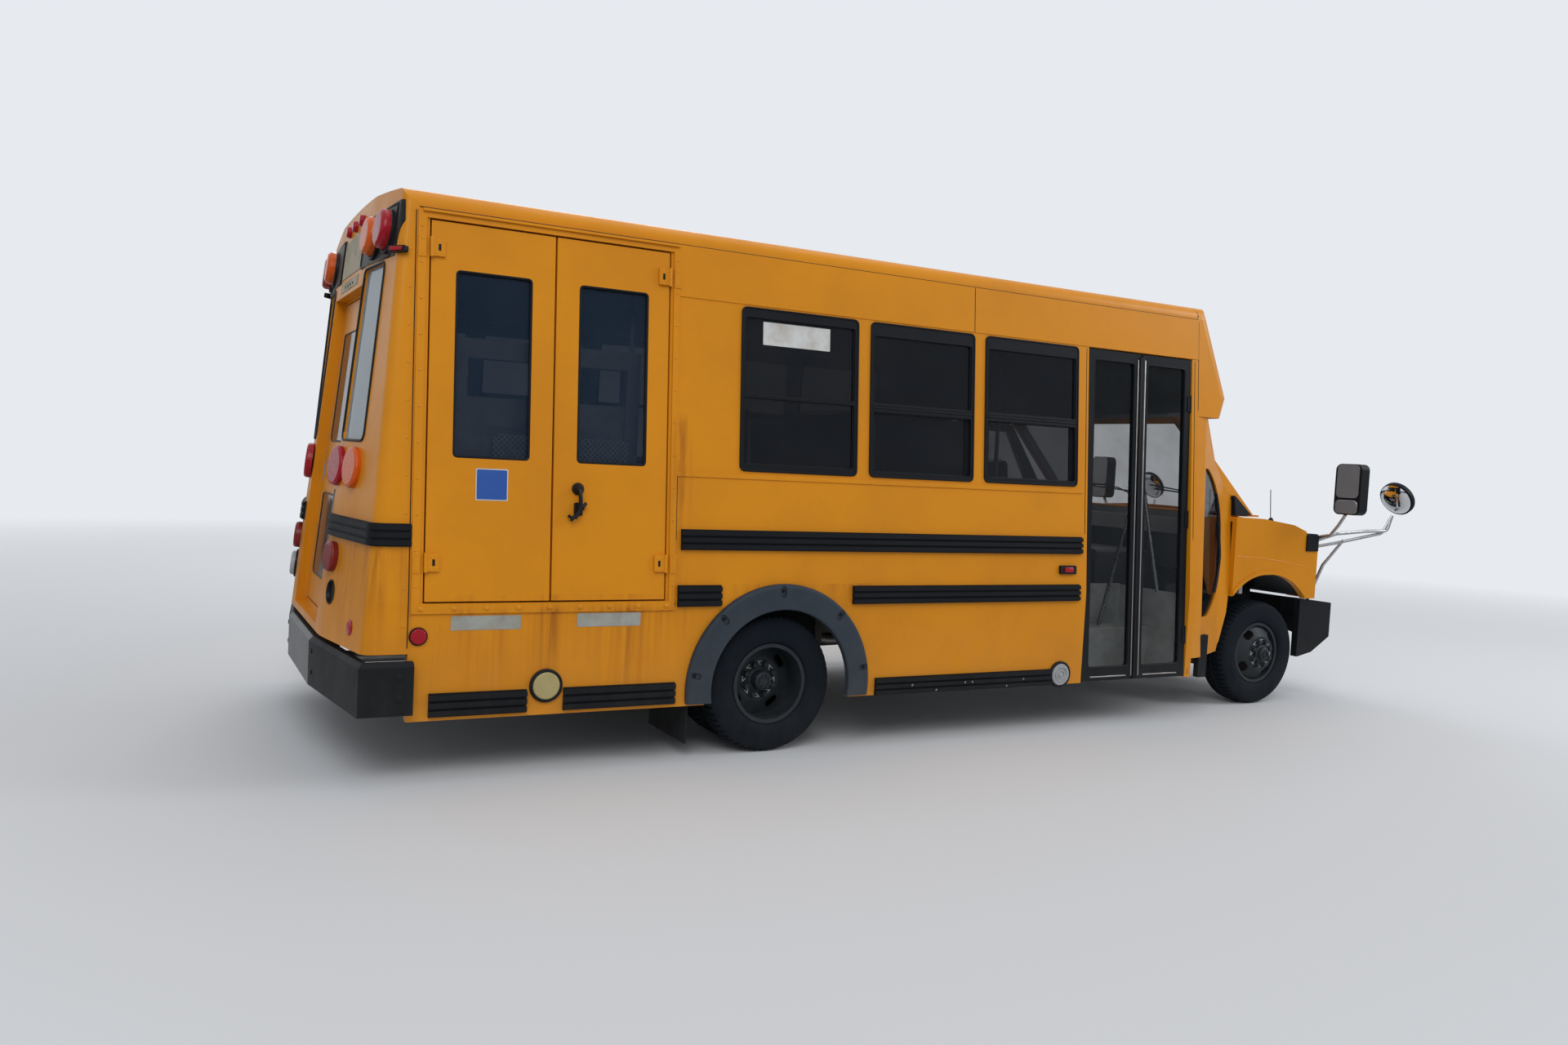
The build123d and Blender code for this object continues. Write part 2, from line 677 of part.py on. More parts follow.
# Van cab: seams and heights shared by its panels
belt_z = 1320
cowl_x = 3870
hood_rear = 3968
grille_x = 4560
fender_seam = 3690
side_skin = 40
door_foot = 410
pillar_foot = (3870, 925)
pillar_head = (3215, 850)
windshield_low = 1345
windshield_high = 1975


def van_slab(side, x0, x1, z0, z1, thick=side_skin, inset=0):
    """Side panel of the van cab between two stations and two heights."""
    return extrude(slab(side, at(x0), z0, z1, van_y, thick, inset=inset, knees=(404, 700, 1320)), amount=x1 - x0)


# Driver's door: front hinged, its front edge following the wheel arch and its top the windshield pillar
door_rear = driver_wall_end + 12
door_outline = ((door_rear, door_foot), (3535, door_foot), (3575, 470), (3640, 668), (fender_seam - 12, 880),
                (fender_seam - 12, belt_z + 40), (3190, cap_lip_z - 45), (door_rear, cap_lip_z - 45))
with BuildPart() as driver_door:
    van_slab(LEFT, door_rear, fender_seam, 350, 1990)
    extrude(side_shape(*[(at(x), z) for x, z in door_outline]), amount=-REACH, mode=Mode.INTERSECT)
    extrude(side_shape((at(door_rear + 90), belt_z + 60), (at(3520), belt_z + 60), (at(3160), 1880),
                       (at(door_rear + 90), 1880)), amount=-REACH, mode=Mode.SUBTRACT)
save(driver_door, "driver_door")
with BuildPart() as driver_glass:
    van_slab(LEFT, door_rear, fender_seam, belt_z + 60, 1880, thick=glass_thick, inset=16)
    extrude(side_shape((at(door_rear + 90), belt_z + 60), (at(3520), belt_z + 60), (at(3160), 1880),
                       (at(door_rear + 90), 1880)), amount=-REACH, mode=Mode.INTERSECT)
save(driver_glass, "driver_door_glass")

# Right-hand transition panel from the body's front post to the fender, with the kerb window
# Columns: station, half width at the foot, half width at the head
transition = ((3091, 1219, 1132), (3190, 1200, 1118), (3575, 1003, 940), (3700, 1003, 900))
transition_foot = 404
transition_head = 1985


def transition_plan(z, fraction, inset, thick):
    """Plan of the transition panel at a height, as a band of even depth."""
    outer = [(at(x), -(foot + (head - foot) * fraction)) for x, foot, head in transition]
    inner = [(x, y + thick) for x, y in outer]
    with BuildSketch(Plane.XY.offset(z)) as plan:
        with BuildLine():
            Polyline(*[(x, y + inset) for x, y in outer], *[(x, y + inset) for x, y in reversed(inner)], close=True)
        make_face()
    return plan.sketch


def transition_skin(inset=0, thick=side_skin):
    """Skin that carries the wide body's side down to the narrow van front."""
    with BuildPart() as skin:
        add(transition_plan(transition_foot, 0, inset, thick))
        add(transition_plan(transition_head, 1, inset, thick))
        loft(ruled=True)
    return skin.part


with BuildSketch(Plane.XZ) as kerb_window:
    with BuildLine():
        Polyline((at(3320), 664), (at(3207), 664), (at(3207), 1648), (at(3262), 1648))
        ThreePointArc((at(3262), 1648), (at(3470), 1480), (at(3566), 1180))
        ThreePointArc((at(3566), 1180), (at(3530), 850), (at(3320), 664))
    make_face()

with BuildPart() as kerb_panel:
    add(transition_skin())
    extrude(side_shape(*[(at(x), z) for x, z in (
        (3091, 404), (3549, 404), (3590, 470), (3659, 668), (3690, 881), (3690, belt_z), (3690, 1440),
        (3671, 1482), (3395, 1694), (3215, 1985), (3091, 1985))]), amount=REACH, mode=Mode.INTERSECT)
    extrude(kerb_window.sketch, amount=REACH, mode=Mode.SUBTRACT)
save(kerb_panel, "kerb_panel")


def kerb_pane():
    """Glass of the kerb window."""
    with BuildPart() as piece:
        add(transition_skin(14, glass_thick))
        extrude(kerb_window.sketch, amount=REACH, mode=Mode.INTERSECT)
    return piece.part


# Fixed glass: side windows, the tall corner windows of the rear cap and the kerb window
with BuildPart() as window_glass:
    add(rear_solid(12))
    add(rear_solid(12 + glass_thick), mode=Mode.SUBTRACT)
    near, far, low, high, radius = corner_window
    with BuildSketch(Plane.YZ.offset(at(-2400))):
        for side in (RIGHT, LEFT):
            with Locations((-side * (near + far) / 2, (low + high) / 2)):
                RectangleRounded(far - near, high - low, radius)
    extrude(amount=700, mode=Mode.INTERSECT)
    add(kerb_pane())
    for side, start, kind in side_windows:
        for low, high, margin, depth in lights(kind):
            add(pane(side, at(start + margin), at(start + window_width - margin), low, high, wall_y,
                     glass_thick, depth, 14))
save(window_glass, "window_glass")


def pillar(side):
    """Windshield pillar between the cowl and the front cap."""
    with BuildPart() as post:
        for (station, y), z in ((pillar_foot, 1334), (pillar_head, cap_lip_z)):
            with BuildSketch(Plane.XY.offset(z)):
                with Locations((at(station), -side * y)):
                    Rectangle(90, 56)
        loft(ruled=True)
    return post.part


# Cab shell: floor, firewall, cowl, windshield pillars and header
with BuildPart() as cab_shell:
    block(at(driver_wall_end - 40), at(3850), -595, 940, cab_floor_z - 40, cab_floor_z)
    block(at(entrance_end), at(3850), -920, -595, cab_floor_z - 40, cab_floor_z)
    block(at(3820), at(3850), -950, 950, cab_floor_z - 40, 1290)
    # Wheel house boxes in the front corners of the cab floor
    for side in (RIGHT, LEFT):
        y0, y1 = sorted((-side * 500, -side * 920))
        block(at(3580), at(3850), y0, y1, cab_floor_z - 40, 810)
        y0, y1 = sorted((-side * 520, -side * 990))
        block(at(3600), at(3860), y0, y1, cab_floor_z - 50, 790, mode=Mode.SUBTRACT)
    block(at(3080), at(3860), -300, 300, cab_floor_z - 50, 1010, mode=Mode.SUBTRACT)
    block(at(3820), at(hood_rear - 10), -780, 780, 1290, windshield_low)
    block(at(3820), at(hood_rear - 10), -955, 955, 1333, windshield_low)
    block(at(3190), at(3226), -820, 820, 1945, cap_lip_z)
    block(at(driver_wall_end - 40), at(driver_wall_end - 5), 600, 940, 560, floor_z)
    for side in (RIGHT, LEFT):
        add(pillar(side))
save(cab_shell, "cab_shell")

# Windshield: one bowed pane between cowl and header
with BuildPart() as windshield:
    # Columns: height, side station, centre station, half width
    for z, edge, nose, half in ((windshield_low, 3868, 3945, 880), (windshield_high, 3240, 3325, 808)):
        with BuildSketch(Plane.XY.offset(z)):
            with BuildLine():
                ThreePointArc((at(edge), -half), (at(nose), 0), (at(edge), half))
                Line((at(edge), half), (at(edge - 8), half))
                ThreePointArc((at(edge - 8), half), (at(nose - 8), 0), (at(edge - 8), -half))
                Line((at(edge - 8), -half), (at(edge), -half))
            make_face()
    loft(ruled=True)
save(windshield, "windshield")

# Front fenders: side skins with a rolled top edge and a tall wheel arch
fender_top = ((fender_seam, 1330), (3969, 1322), (4286, 1285), (4514, 1211), (4556, 1140))
bracket = (4423, 4546, 850, 1012, 1100, 1226)


def fender_outline(drop, back):
    """Side outline of a fender, lowered and shortened to make its hollow."""
    top = [(at(x - back), z - drop) for x, z in fender_top]
    return side_shape((at(fender_seam - back), 430), *top, (at(4556 - back), 756 - drop), (at(4556 - back), 430))


with BuildSketch(Plane.XZ) as front_arch:
    with BuildLine():
        l1 = Polyline((at(3560), 300), (at(3577), 448), (at(3612), 657))
        a1 = ThreePointArc(l1 @ 1, (at(3790), 862), (at(4047), 929))
        a2 = ThreePointArc(a1 @ 1, (at(4290), 880), (at(4445), 756))
        Polyline(a2 @ 1, (at(4700), 756), (at(4700), 300), l1 @ 0)
    make_face()


def arch_lip(side):
    """Narrow band standing a little proud of the fender round its arch."""
    with BuildPart() as lip:
        extrude(slab(side, at(fender_seam + 4), 430, 990, van_y, 9, inset=-8, knees=(700,)), amount=750)
        with BuildSketch(Plane.XZ):
            add(front_arch.sketch_local)
            offset(amount=26)
        extrude(amount=side * REACH, mode=Mode.INTERSECT)
        extrude(front_arch.sketch, amount=side * REACH, mode=Mode.SUBTRACT)
    return lip.part


with BuildPart() as front_fenders:
    for side in (RIGHT, LEFT):
        extrude(slab(side, at(fender_seam), 400, 1340, van_y, 215, knees=(404, 700, 1320)),
                amount=4556 - fender_seam)
    extrude(fender_outline(0, 0), amount=REACH, both=True, mode=Mode.INTERSECT)
    extrude(fender_outline(32, 32), amount=962, both=True, mode=Mode.SUBTRACT)
    extrude(front_arch.sketch, amount=REACH, both=True, mode=Mode.SUBTRACT)
    near, far, inner, outer, low, high = bracket
    for side in (RIGHT, LEFT):
        block(at(near), at(far + 20), *sorted((-side * inner, -side * outer)), low, high + 60, mode=Mode.SUBTRACT)
    # Rolled lip round each wheel arch
    for side in (RIGHT, LEFT):
        add(arch_lip(side))
save(front_fenders, "front_fenders")

# Wheel liners: splash skins inside the front arches and inner plates beside the twin wheels
liner_in = 532
liner_out = 955
with BuildPart() as wheel_liners:
    for side in (RIGHT, LEFT):
        with BuildSketch(Plane.XZ.offset(side * liner_in)):
            add(front_arch.sketch_local)
            offset(amount=12)
            add(front_arch.sketch_local, mode=Mode.SUBTRACT)
        extrude(amount=side * (liner_out - liner_in))
        with BuildSketch(Plane.XZ.offset(side * liner_in)):
            add(front_arch.sketch_local)
            offset(amount=12)
        extrude(amount=side * 7)
        y0, y1 = sorted((-side * (liner_in - 5), -side * (liner_out + 5)))
        block(at(3400), at(3856), y0, y1, 200, 1100, mode=Mode.SUBTRACT)
        block(at(4430), at(4800), y0, y1, 200, 1100, mode=Mode.SUBTRACT)
        block(at(3800), at(4500), y0, y1, 200, 560, mode=Mode.SUBTRACT)
        block(at(-465), at(570), *sorted((-side * 636, -side * 642)), 480, floor_z - deck_thick)
save(wheel_liners, "wheel_liners")

# Hood: crowned lid between the fenders, hinged along its rear edge
# Columns: station, edge height, crown height
hood_levels = ((hood_rear, 1326, 1368), (4286, 1288, 1335), (4500, 1225, 1270), (4600, 1150, 1185))
hood_half = 778
with BuildPart() as hood:
    for station, edge, crown in hood_levels:
        with BuildSketch(Plane.YZ.offset(at(station))):
            with BuildLine():
                ThreePointArc((-hood_half, edge), (0, crown), (hood_half, edge))
                Line((hood_half, edge), (hood_half, edge - 28))
                ThreePointArc((hood_half, edge - 28), (0, crown - 28), (-hood_half, edge - 28))
                Line((-hood_half, edge - 28), (-hood_half, edge))
            make_face()
    loft(ruled=True)
save(hood, "hood")

# Grille panel between the bumper and the hood, with bars and head lamp pockets
grille_low = 756
grille_high = 1112


def bowed_plan(z, rear, edge, nose, half):
    """Plan of a front piece with a straight back and a bowed face."""
    with BuildSketch(Plane.XY.offset(z)) as plan:
        with BuildLine():
            ThreePointArc((at(edge), -half), (at(nose), 0), (at(edge), half))
            Polyline((at(edge), half), (at(rear), half), (at(rear), -half), (at(edge), -half))
        make_face()
    return plan.sketch


with BuildPart() as grille_panel:
    extrude(bowed_plan(grille_low, 4562, 4574, 4640, 940), amount=grille_high - grille_low)
    extrude(bowed_plan(grille_low + 40, 4540, 4548, 4612, 900), amount=grille_high - grille_low - 80,
            mode=Mode.SUBTRACT)
    with BuildSketch(Plane.YZ.offset(at(4500))):
        for z in range(850, 1080, 44):
            with Locations((0, z)):
                RectangleRounded(1080, 26, 8)
        for side in (RIGHT, LEFT):
            with Locations((-side * 735, 950)):
                RectangleRounded(300, 190, 30)
    extrude(amount=300, mode=Mode.SUBTRACT)
save(grille_panel, "grille_panel")
with BuildPart() as head_lamps:
    extrude(bowed_plan(858, 4563, 4569, 4634, 940), amount=184)
    with BuildSketch(Plane.YZ.offset(at(4500))):
        for side in (RIGHT, LEFT):
            with Locations((-side * 735, 950)):
                RectangleRounded(296, 184, 28)
    extrude(amount=300, mode=Mode.INTERSECT)
save(head_lamps, "head_lamps")

# Front bumper: bowed bar with wrapped ends, cut to its side profile
bumper_half = 985
with BuildPart() as front_bumper:
    with BuildSketch(Plane.XY.offset(330)):
        with BuildLine():
            Polyline((at(4425), -bumper_half), (at(4770), -bumper_half), (at(4860), -560), (at(4860), 560),
                     (at(4770), bumper_half), (at(4425), bumper_half), (at(4425), bumper_half - 50),
                     (at(4700), bumper_half - 50), (at(4780), 540), (at(4780), -540), (at(4700), 50 - bumper_half),
                     (at(4425), 50 - bumper_half), close=True)
        make_face()
    extrude(amount=430)
    extrude(side_shape(*[(at(x), z) for x, z in ((4400, 322), (4584, 359), (4773, 470), (4900, 490), (4900, 690),
                                                 (4747, 722), (4400, 752))]),
            amount=REACH, both=True, mode=Mode.INTERSECT)
    for side in (RIGHT, LEFT):
        block(at(4600), at(4790), *sorted((-side * 395, -side * 465)), 490, 560)
save(front_bumper, "front_bumper")

# Rear bumper: flat middle with swept ends that wrap the corners
with BuildPart() as rear_bumper:
    with BuildSketch(Plane.XY.offset(325)):
        with BuildLine():
            Polyline((at(-1868), -1275), (at(-2108), -1275), (at(-2215), -448), (at(-2215), 448), (at(-2108), 1275),
                     (at(-1868), 1275), (at(-1868), 1225), (at(-2070), 1225), (at(-2150), 440), (at(-2150), -440),
                     (at(-2070), -1225), (at(-1868), -1225), close=True)
        make_face()
    extrude(amount=240)
    outer_top = rear_bumper.edges().group_by(Axis.Z)[-1]
    chamfer(outer_top.filter_by(lambda e: e.center().X < at(-2125) and e.length > 500
                                or abs(e.center().Y) > 1240 and e.length > 150), 20)
    for side in (RIGHT, LEFT):
        block(at(-2155), at(-2070), *sorted((-side * 395, -side * 465)), 440, 560)
    with BuildSketch(Plane.YZ.offset(at(-2300))):
        with Locations((-89, 470), (89, 470)):
            Circle(4)
    extrude(amount=300, mode=Mode.SUBTRACT)
save(rear_bumper, "rear_bumper")

# Rub rails: bars with three ribs along both sides, and bands with the same ribs round the rear corners
rail_out = 24
rail_base = 11
ribs = 3
rib_share = 0.66
# Columns: start station, end station, bottom, top
right_rails = ((-567, 2097, 1079, 1183), (456, 2082, 794, 894), (-581, -339, 793, 901), (630, 1892, 283, 380),
               (-1791, -1336, 300, 410), (-1156, -575, 300, 410))
left_rails = ((-1885, 2600, 1079, 1183), (620, 2600, 793, 897), (-1885, -560, 793, 897), (630, 1892, 283, 380))
corner_band = (1080, 1183)
band_inner = 525


def rib_heights(low, high):
    """Bottom and top of each rib of a rail."""
    pitch = (high - low) / ribs
    rib = pitch * rib_share
    return [(low + pitch * (k + 0.5) - rib / 2, low + pitch * (k + 0.5) + rib / 2) for k in range(ribs)]


def rear_band(proud, heights):
    """Bands round both rear corners, standing proud of the cap."""
    with BuildPart() as band:
        add(rear_solid(-proud))
        add(rear_solid(0), mode=Mode.SUBTRACT)
        with BuildSketch(Plane.YZ.offset(at(-2400))):
            for low, high in heights:
                for side in (RIGHT, LEFT):
                    with Locations((-side * (band_inner + 400), (low + high) / 2)):
                        Rectangle(800, high - low)
        extrude(amount=540, mode=Mode.INTERSECT)
    return band.part


with BuildPart() as rub_rails:
    for side, rails in ((RIGHT, right_rails), (LEFT, left_rails)):
        for start, end, low, high in rails:
            length = end - start
            extrude(slab(side, at(start), low, high, wall_y, rail_base, inset=-rail_base, knees=KNEES),
                    amount=length)
            for z0, z1 in rib_heights(low, high):
                extrude(slab(side, at(start), z0, z1, wall_y, rail_out, inset=-rail_out, knees=KNEES),
                        amount=length)
    add(rear_band(rail_base, [corner_band]))
    add(rear_band(rail_out - 4, rib_heights(*corner_band)))
save(rub_rails, "rub_rails")

# Wheel arch flares over the twin wheels, with a rounded outer edge and five bolt pockets
flare_out = 36
pocket_angles = (10, 48, 92, 134, 171)
with BuildPart() as arch_flares:
    for side in (RIGHT, LEFT):
        with BuildSketch(Plane.XZ.offset(side * (body_half + 0.5))):
            with Locations((arch_x, arch_z)):
                Circle(arch_outer)
                Circle(arch_inner, mode=Mode.SUBTRACT)
            with Locations((arch_x, 0)):
                Rectangle(1400, 600 - 8, mode=Mode.SUBTRACT)
        extrude(amount=side * flare_out)
    rims_out = arch_flares.edges().filter_by(GeomType.CIRCLE).filter_by(lambda e: abs(e.center().Y) > body_half + 30)
    fillet(rims_out.filter_by(lambda e: e.radius > arch_outer - 1), 22)
    fillet(arch_flares.edges().filter_by(GeomType.CIRCLE).filter_by(
        lambda e: abs(e.center().Y) > body_half + 30 and e.radius < arch_inner + 1), 8)
    for side in (RIGHT, LEFT):
        face = Plane.XZ.offset(side * (body_half + flare_out - 9))
        with BuildSketch(face):
            for angle in pocket_angles:
                reach = arch_outer - 38
                with Locations((arch_x + reach * cos(radians(angle)), arch_z + reach * sin(radians(angle)))):
                    SlotOverall(62, 34, rotation=angle)
        extrude(amount=side * 30, mode=Mode.SUBTRACT)
save(arch_flares, "arch_flares")

# Mud flaps hung behind the twin wheels
with BuildPart() as mud_flaps:
    for side in (RIGHT, LEFT):
        block(at(-482), at(-474), *sorted((-side * 680, -side * 1172)), 75, 680)
    # Splash guard at the foot of the entrance's front post
    block(at(3195), at(3270), -1190, -1150, 268, 549)
    add(kerb_panel.part, mode=Mode.SUBTRACT)
save(mud_flaps, "mud_flaps")


def tube(points, radius, bend):
    """Round tube along a path of straight runs with rounded bends."""
    with BuildPart() as run:
        with BuildLine() as path:
            FilletPolyline(*points, radius=bend)
        with BuildSketch(Plane(origin=path.line @ 0, z_dir=path.line % 0)):
            Circle(radius)
        sweep(path=path.line)
    return run.part


# Mirror arms: polished tubes from the brackets and the bumper
arm_radius = 12
with BuildPart() as mirror_arms:
    for side in (RIGHT, LEFT):
        out = -side
        add(tube(((at(4548), out * 930, 1190), (at(4575), out * 1080, 1225), (at(4560), out * 1150, 1300),
                  (at(4560), out * 1200, 1379)), arm_radius, 30))
        add(tube(((at(4548), out * 940, 1160), (at(4640), out * 1080, 1235), (at(4900), out * 1130, 1262),
                  (at(5110), out * 1150, 1270), (at(5140), out * 1160, 1385)), arm_radius, 40))
        add(tube(((at(4548), out * 950, 1125), (at(4700), out * 1060, 1172), (at(5080), out * 1130, 1250),
                  (at(5140), out * 1160, 1385)), arm_radius, 40))
        add(tube(((at(4660), out * 860, 725), (at(4680), out * 960, 1000), (at(4720), out * 1080, 1190)), arm_radius, 60))
save(mirror_arms, "mirror_arms")

# Outside brackets: moulded mirror feet over the front upper corner of each fender, quarter plates
# behind the windshield pillars and the stop arm's bracket
stop_x = at(2420)
stop_z = 1290
stop_face = wall_y(stop_z) + 48


def quarter_plate(side):
    """Three-cornered plate that closes the space behind the windshield pillar's foot."""
    with BuildPart() as plate:
        van_slab(side, 3692, 3852, 1342, 1475, thick=44, inset=12)
        extrude(side_shape((at(3692), 1342), (at(3852), 1342), (at(3704), 1475), (at(3692), 1475)),
                amount=side * REACH, mode=Mode.INTERSECT)
        add(cab_shell.part, mode=Mode.SUBTRACT)
        add(kerb_panel.part, mode=Mode.SUBTRACT)
    return plate.part


with BuildPart() as outer_brackets:
    near, far, inner, outer, low, high = bracket
    for side in (RIGHT, LEFT):
        block(at(near), at(far), *sorted((-side * inner, -side * outer)), low, high)
    fillet(outer_brackets.edges().filter_by(Axis.Y).group_by(Axis.Z)[-1], 30)
    add(mirror_arms.part, mode=Mode.SUBTRACT)
    for side in (RIGHT, LEFT):
        add(quarter_plate(side))
    foot = wall_y(stop_z - 90)
    for z0, z1 in ((stop_z - 90, stop_z - 70), (stop_z + 70, stop_z + 90)):
        block(stop_x - 20, stop_x + 25, foot, stop_face + 16, z0, z1)
    block(stop_x + 22, stop_x + 40, foot, stop_face + 16, stop_z - 90, stop_z + 90)
save(outer_brackets, "outer_brackets")

# Mirror heads: a tall flat mirror and an oval crossview mirror on each side
with BuildPart() as mirror_heads:
    for side in (RIGHT, LEFT):
        out = -side
        with BuildSketch(Plane.YZ.offset(at(4520))):
            with Locations((out * 1230, 1560)):
                RectangleRounded(205, 360, 45)
        extrude(amount=85)
        with Locations(Location((at(5130), out * 1200, 1512), (0, 62, out * -25))):
            Cylinder(125, 30)
            with Locations((0, 0, 15)):
                Cone(110, 60, 45)
    add(mirror_arms.part, mode=Mode.SUBTRACT)
save(mirror_heads, "mirror_heads")


def lamp(plane, radius, depth, round_by):
    """Round lamp with a softened face, standing out along a plane's normal."""
    with BuildPart() as dome:
        with BuildSketch(plane):
            Circle(radius)
        extrude(amount=depth)
        fillet(dome.faces().sort_by(Axis(plane.origin, plane.z_dir))[-1].edges(), round_by)
    return dome.part


def rear_plane(y, z, ahead, turn):
    """Plane on the rear cap's corner, facing back and a little to the side."""
    return Plane(origin=(at(rear_x(z) + ahead), y, z), x_dir=(0, -1, 0), z_dir=(-1, turn, rear_lean))


# Warning lamps: eight large lamps high on both caps and the small marker lamps above them
warning_r = 92
warning_depth = 66
marker_y = (-210, 0, 210)
# Columns: distance from the centre plane, height
board = ((333, 2403), (1030, 2391), (1120, 2640), (333, 2640))


def lamp_board(side):
    """Thin dark board behind the two large lamps of a rear corner."""
    with BuildPart() as skin:
        add(rear_solid(-4))
        add(rear_solid(0), mode=Mode.SUBTRACT)
        with BuildSketch(Plane.YZ.offset(at(-2400))):
            with BuildLine():
                Polyline(*[(-side * y, z) for y, z in board], close=True)
            make_face()
        extrude(amount=460, mode=Mode.INTERSECT)
    return skin.part


with BuildPart() as warning_lamps:
    for side in (RIGHT, LEFT):
        for y in (650, 900):
            ahead = max(0, y - 555) * 0.07
            add(lamp(rear_plane(-side * y, 2520, ahead + 4, -side * 0.07), warning_r, warning_depth, 26))
            back = max(0, y - 495) * 0.197
            place = Plane(origin=(at(3382 - back), -side * y, 2440), x_dir=(-side * 0.197, 1, 0),
                          z_dir=(1, -side * 0.197, 0.33))
            add(lamp(place, warning_r, warning_depth, 26))
    for y in marker_y:
        add(lamp(rear_plane(y, 2668, 0, 0), 30, 26, 12))
        add(lamp(Plane(origin=(at(3312), y, 2640), x_dir=(0, 1, 0), z_dir=(1, 0, 0.4)), 30, 40, 12))
    for side in (RIGHT, LEFT):
        add(lamp_board(side))
    add(front_cap.part, mode=Mode.SUBTRACT)
    add(rear_cap.part, mode=Mode.SUBTRACT)
save(warning_lamps, "warning_lamps")

# Running lamps: stop, turn and reverse lamps beside the rear door, and the round lamps low on the right side
# Columns: distance from the centre, height, radius
tail_places = ((545, 1415, 98), (800, 1415, 98), (664, 982, 74))
spare_lamp = (692, 815, 70)
# Columns: station, height, radius
side_places = ((-1846, 674, 36), (-1243, 423, 66), (1968, 345, 66))
with BuildPart() as running_lamps:
    for side in (RIGHT, LEFT):
        for y, z, radius in tail_places if side == RIGHT else tail_places + (spare_lamp,):
            ahead = 4 + max(0, y - 610) * 0.164
            add(lamp(rear_plane(-side * y, z, ahead, -side * 0.16), radius, 38, 14))
        for station, z, radius in side_places:
            place = Plane(origin=(at(station), -side * (wall_y(z) - 2), z), x_dir=(-side, 0, 0), z_dir=(0, -side, 0))
            add(lamp(place, radius, 20, 7))
    add(rear_cap.part, mode=Mode.SUBTRACT)
    add(right_wall.part, mode=Mode.SUBTRACT)
    add(left_wall.part, mode=Mode.SUBTRACT)
save(running_lamps, "running_lamps")

# Seats: benches with high backs in rows that leave the lift bay open, and the driver's seat
# Columns: side, station of the back
seat_rows = ((LEFT, -1250), (LEFT, -500), (LEFT, 250), (LEFT, 1000), (LEFT, 1750),
             (RIGHT, -150), (RIGHT, 600), (RIGHT, 1350))
driver_y = 595
with BuildPart() as seats:
    for side, station in seat_rows:
        y0, y1 = sorted((-side * 260, -side * 1080))
        block(at(station), at(station + 430), y0, y1, 1150, 1260)
        extrude(side_shape((at(station - 60), 1180), (at(station + 60), 1180), (at(station - 20), 1860),
                           (at(station - 110), 1860)), amount=side * 1060)
        block(at(station - 200), at(station + 500), *sorted((-side * 200, -side * -20)), 1100, 1900, mode=Mode.SUBTRACT)
        for y in (-side * 330, -side * 990):
            block(at(station + 40), at(station + 70), y - 15, y + 15, floor_z, 1150)
            block(at(station + 340), at(station + 370), y - 15, y + 15, floor_z, 1150)
    # Driver's seat on a plain pedestal
    block(at(2860), at(3300), driver_y - 250, driver_y + 250, 880, 1010)
    extrude(side_shape((at(2760), 950), (at(2890), 950), (at(2800), 1640), (at(2690), 1640)), amount=-(driver_y + 230))
    block(at(2600), at(3400), -50, driver_y - 230, 900, 1700, mode=Mode.SUBTRACT)
    block(at(2950), at(3200), driver_y - 150, driver_y + 150, cab_floor_z, 880)
save(seats, "seats")

# Cab trim: the dash across the cab and the engine cover that reaches back between the seats
with BuildPart() as cab_trim:
    block(at(3050), at(3818), -330, 330, cab_floor_z + 2, 1040)
    block(at(3080), at(3900), -300, 300, cab_floor_z, 1010, mode=Mode.SUBTRACT)
    fillet(cab_trim.edges().filter_by(Axis.X).group_by(Axis.Z)[-1], 25)
    extrude(side_shape((at(3815), 900), (at(3600), 930), (at(3560), 1180), (at(3640), 1285), (at(3815), 1285)),
            amount=900, both=True)
    block(at(3082), at(3816), -298, 298, 800, 1008, mode=Mode.SUBTRACT)
save(cab_trim, "cab_trim")

# Steering wheel on its column
wheel_tilt = 58
with BuildPart() as steering_wheel:
    hub = Plane(origin=(at(3330), driver_y, 1250), z_dir=(-sin(radians(wheel_tilt)), 0, cos(radians(wheel_tilt))))
    with Locations(hub):
        Torus(185, 14)
        Cylinder(45, 40)
        Box(30, 350, 16)
        with Locations((0, 0, -110)):
            Cylinder(24, 200)
save(steering_wheel, "steering_wheel")

# Wheelchair lift: two posts and a folded platform just inside the lift doors
with BuildPart() as wheelchair_lift:
    for station in (-1700, -840):
        block(at(station), at(station + 70), -1060, -960, floor_z, 2050)
    block(at(-1630), at(-840), -1040, -1000, floor_z + 40, 1780)
    block(at(-1560), at(-910), -1050, -990, floor_z + 120, 1640, mode=Mode.SUBTRACT)
    block(at(-1565), at(-905), -1028, -1020, floor_z + 115, 1645)
    block(at(-1700), at(-770), -1060, -960, 1960, 2050)
save(wheelchair_lift, "wheelchair_lift")

# Stop arm: an eight-sided blade folded back against the left wall, turning on a bracket at its front edge
with BuildPart() as stop_arm:
    with BuildSketch(Plane.XZ.offset(-stop_face)):
        with Locations((stop_x - 330, stop_z)):
            RegularPolygon(240, 8, rotation=22.5)
        with Locations((stop_x - 60, stop_z)):
            Rectangle(150, 120)
    extrude(amount=-5)
    with Locations((stop_x, stop_face + 2, stop_z)):
        Cylinder(12, 130)
save(stop_arm, "stop_arm")
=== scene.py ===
# %% [markdown]
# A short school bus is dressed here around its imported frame. The frame holds every panel, wheel and door at its
# real size, in metres, with X forward, Y to the left and Z up. This script adds finishes and small parts.

import json
from math import copysign, cos, pi, radians, sin, tan

import bmesh
import bpy
from mathutils import Matrix, Vector
from mathutils.bvhtree import BVHTree


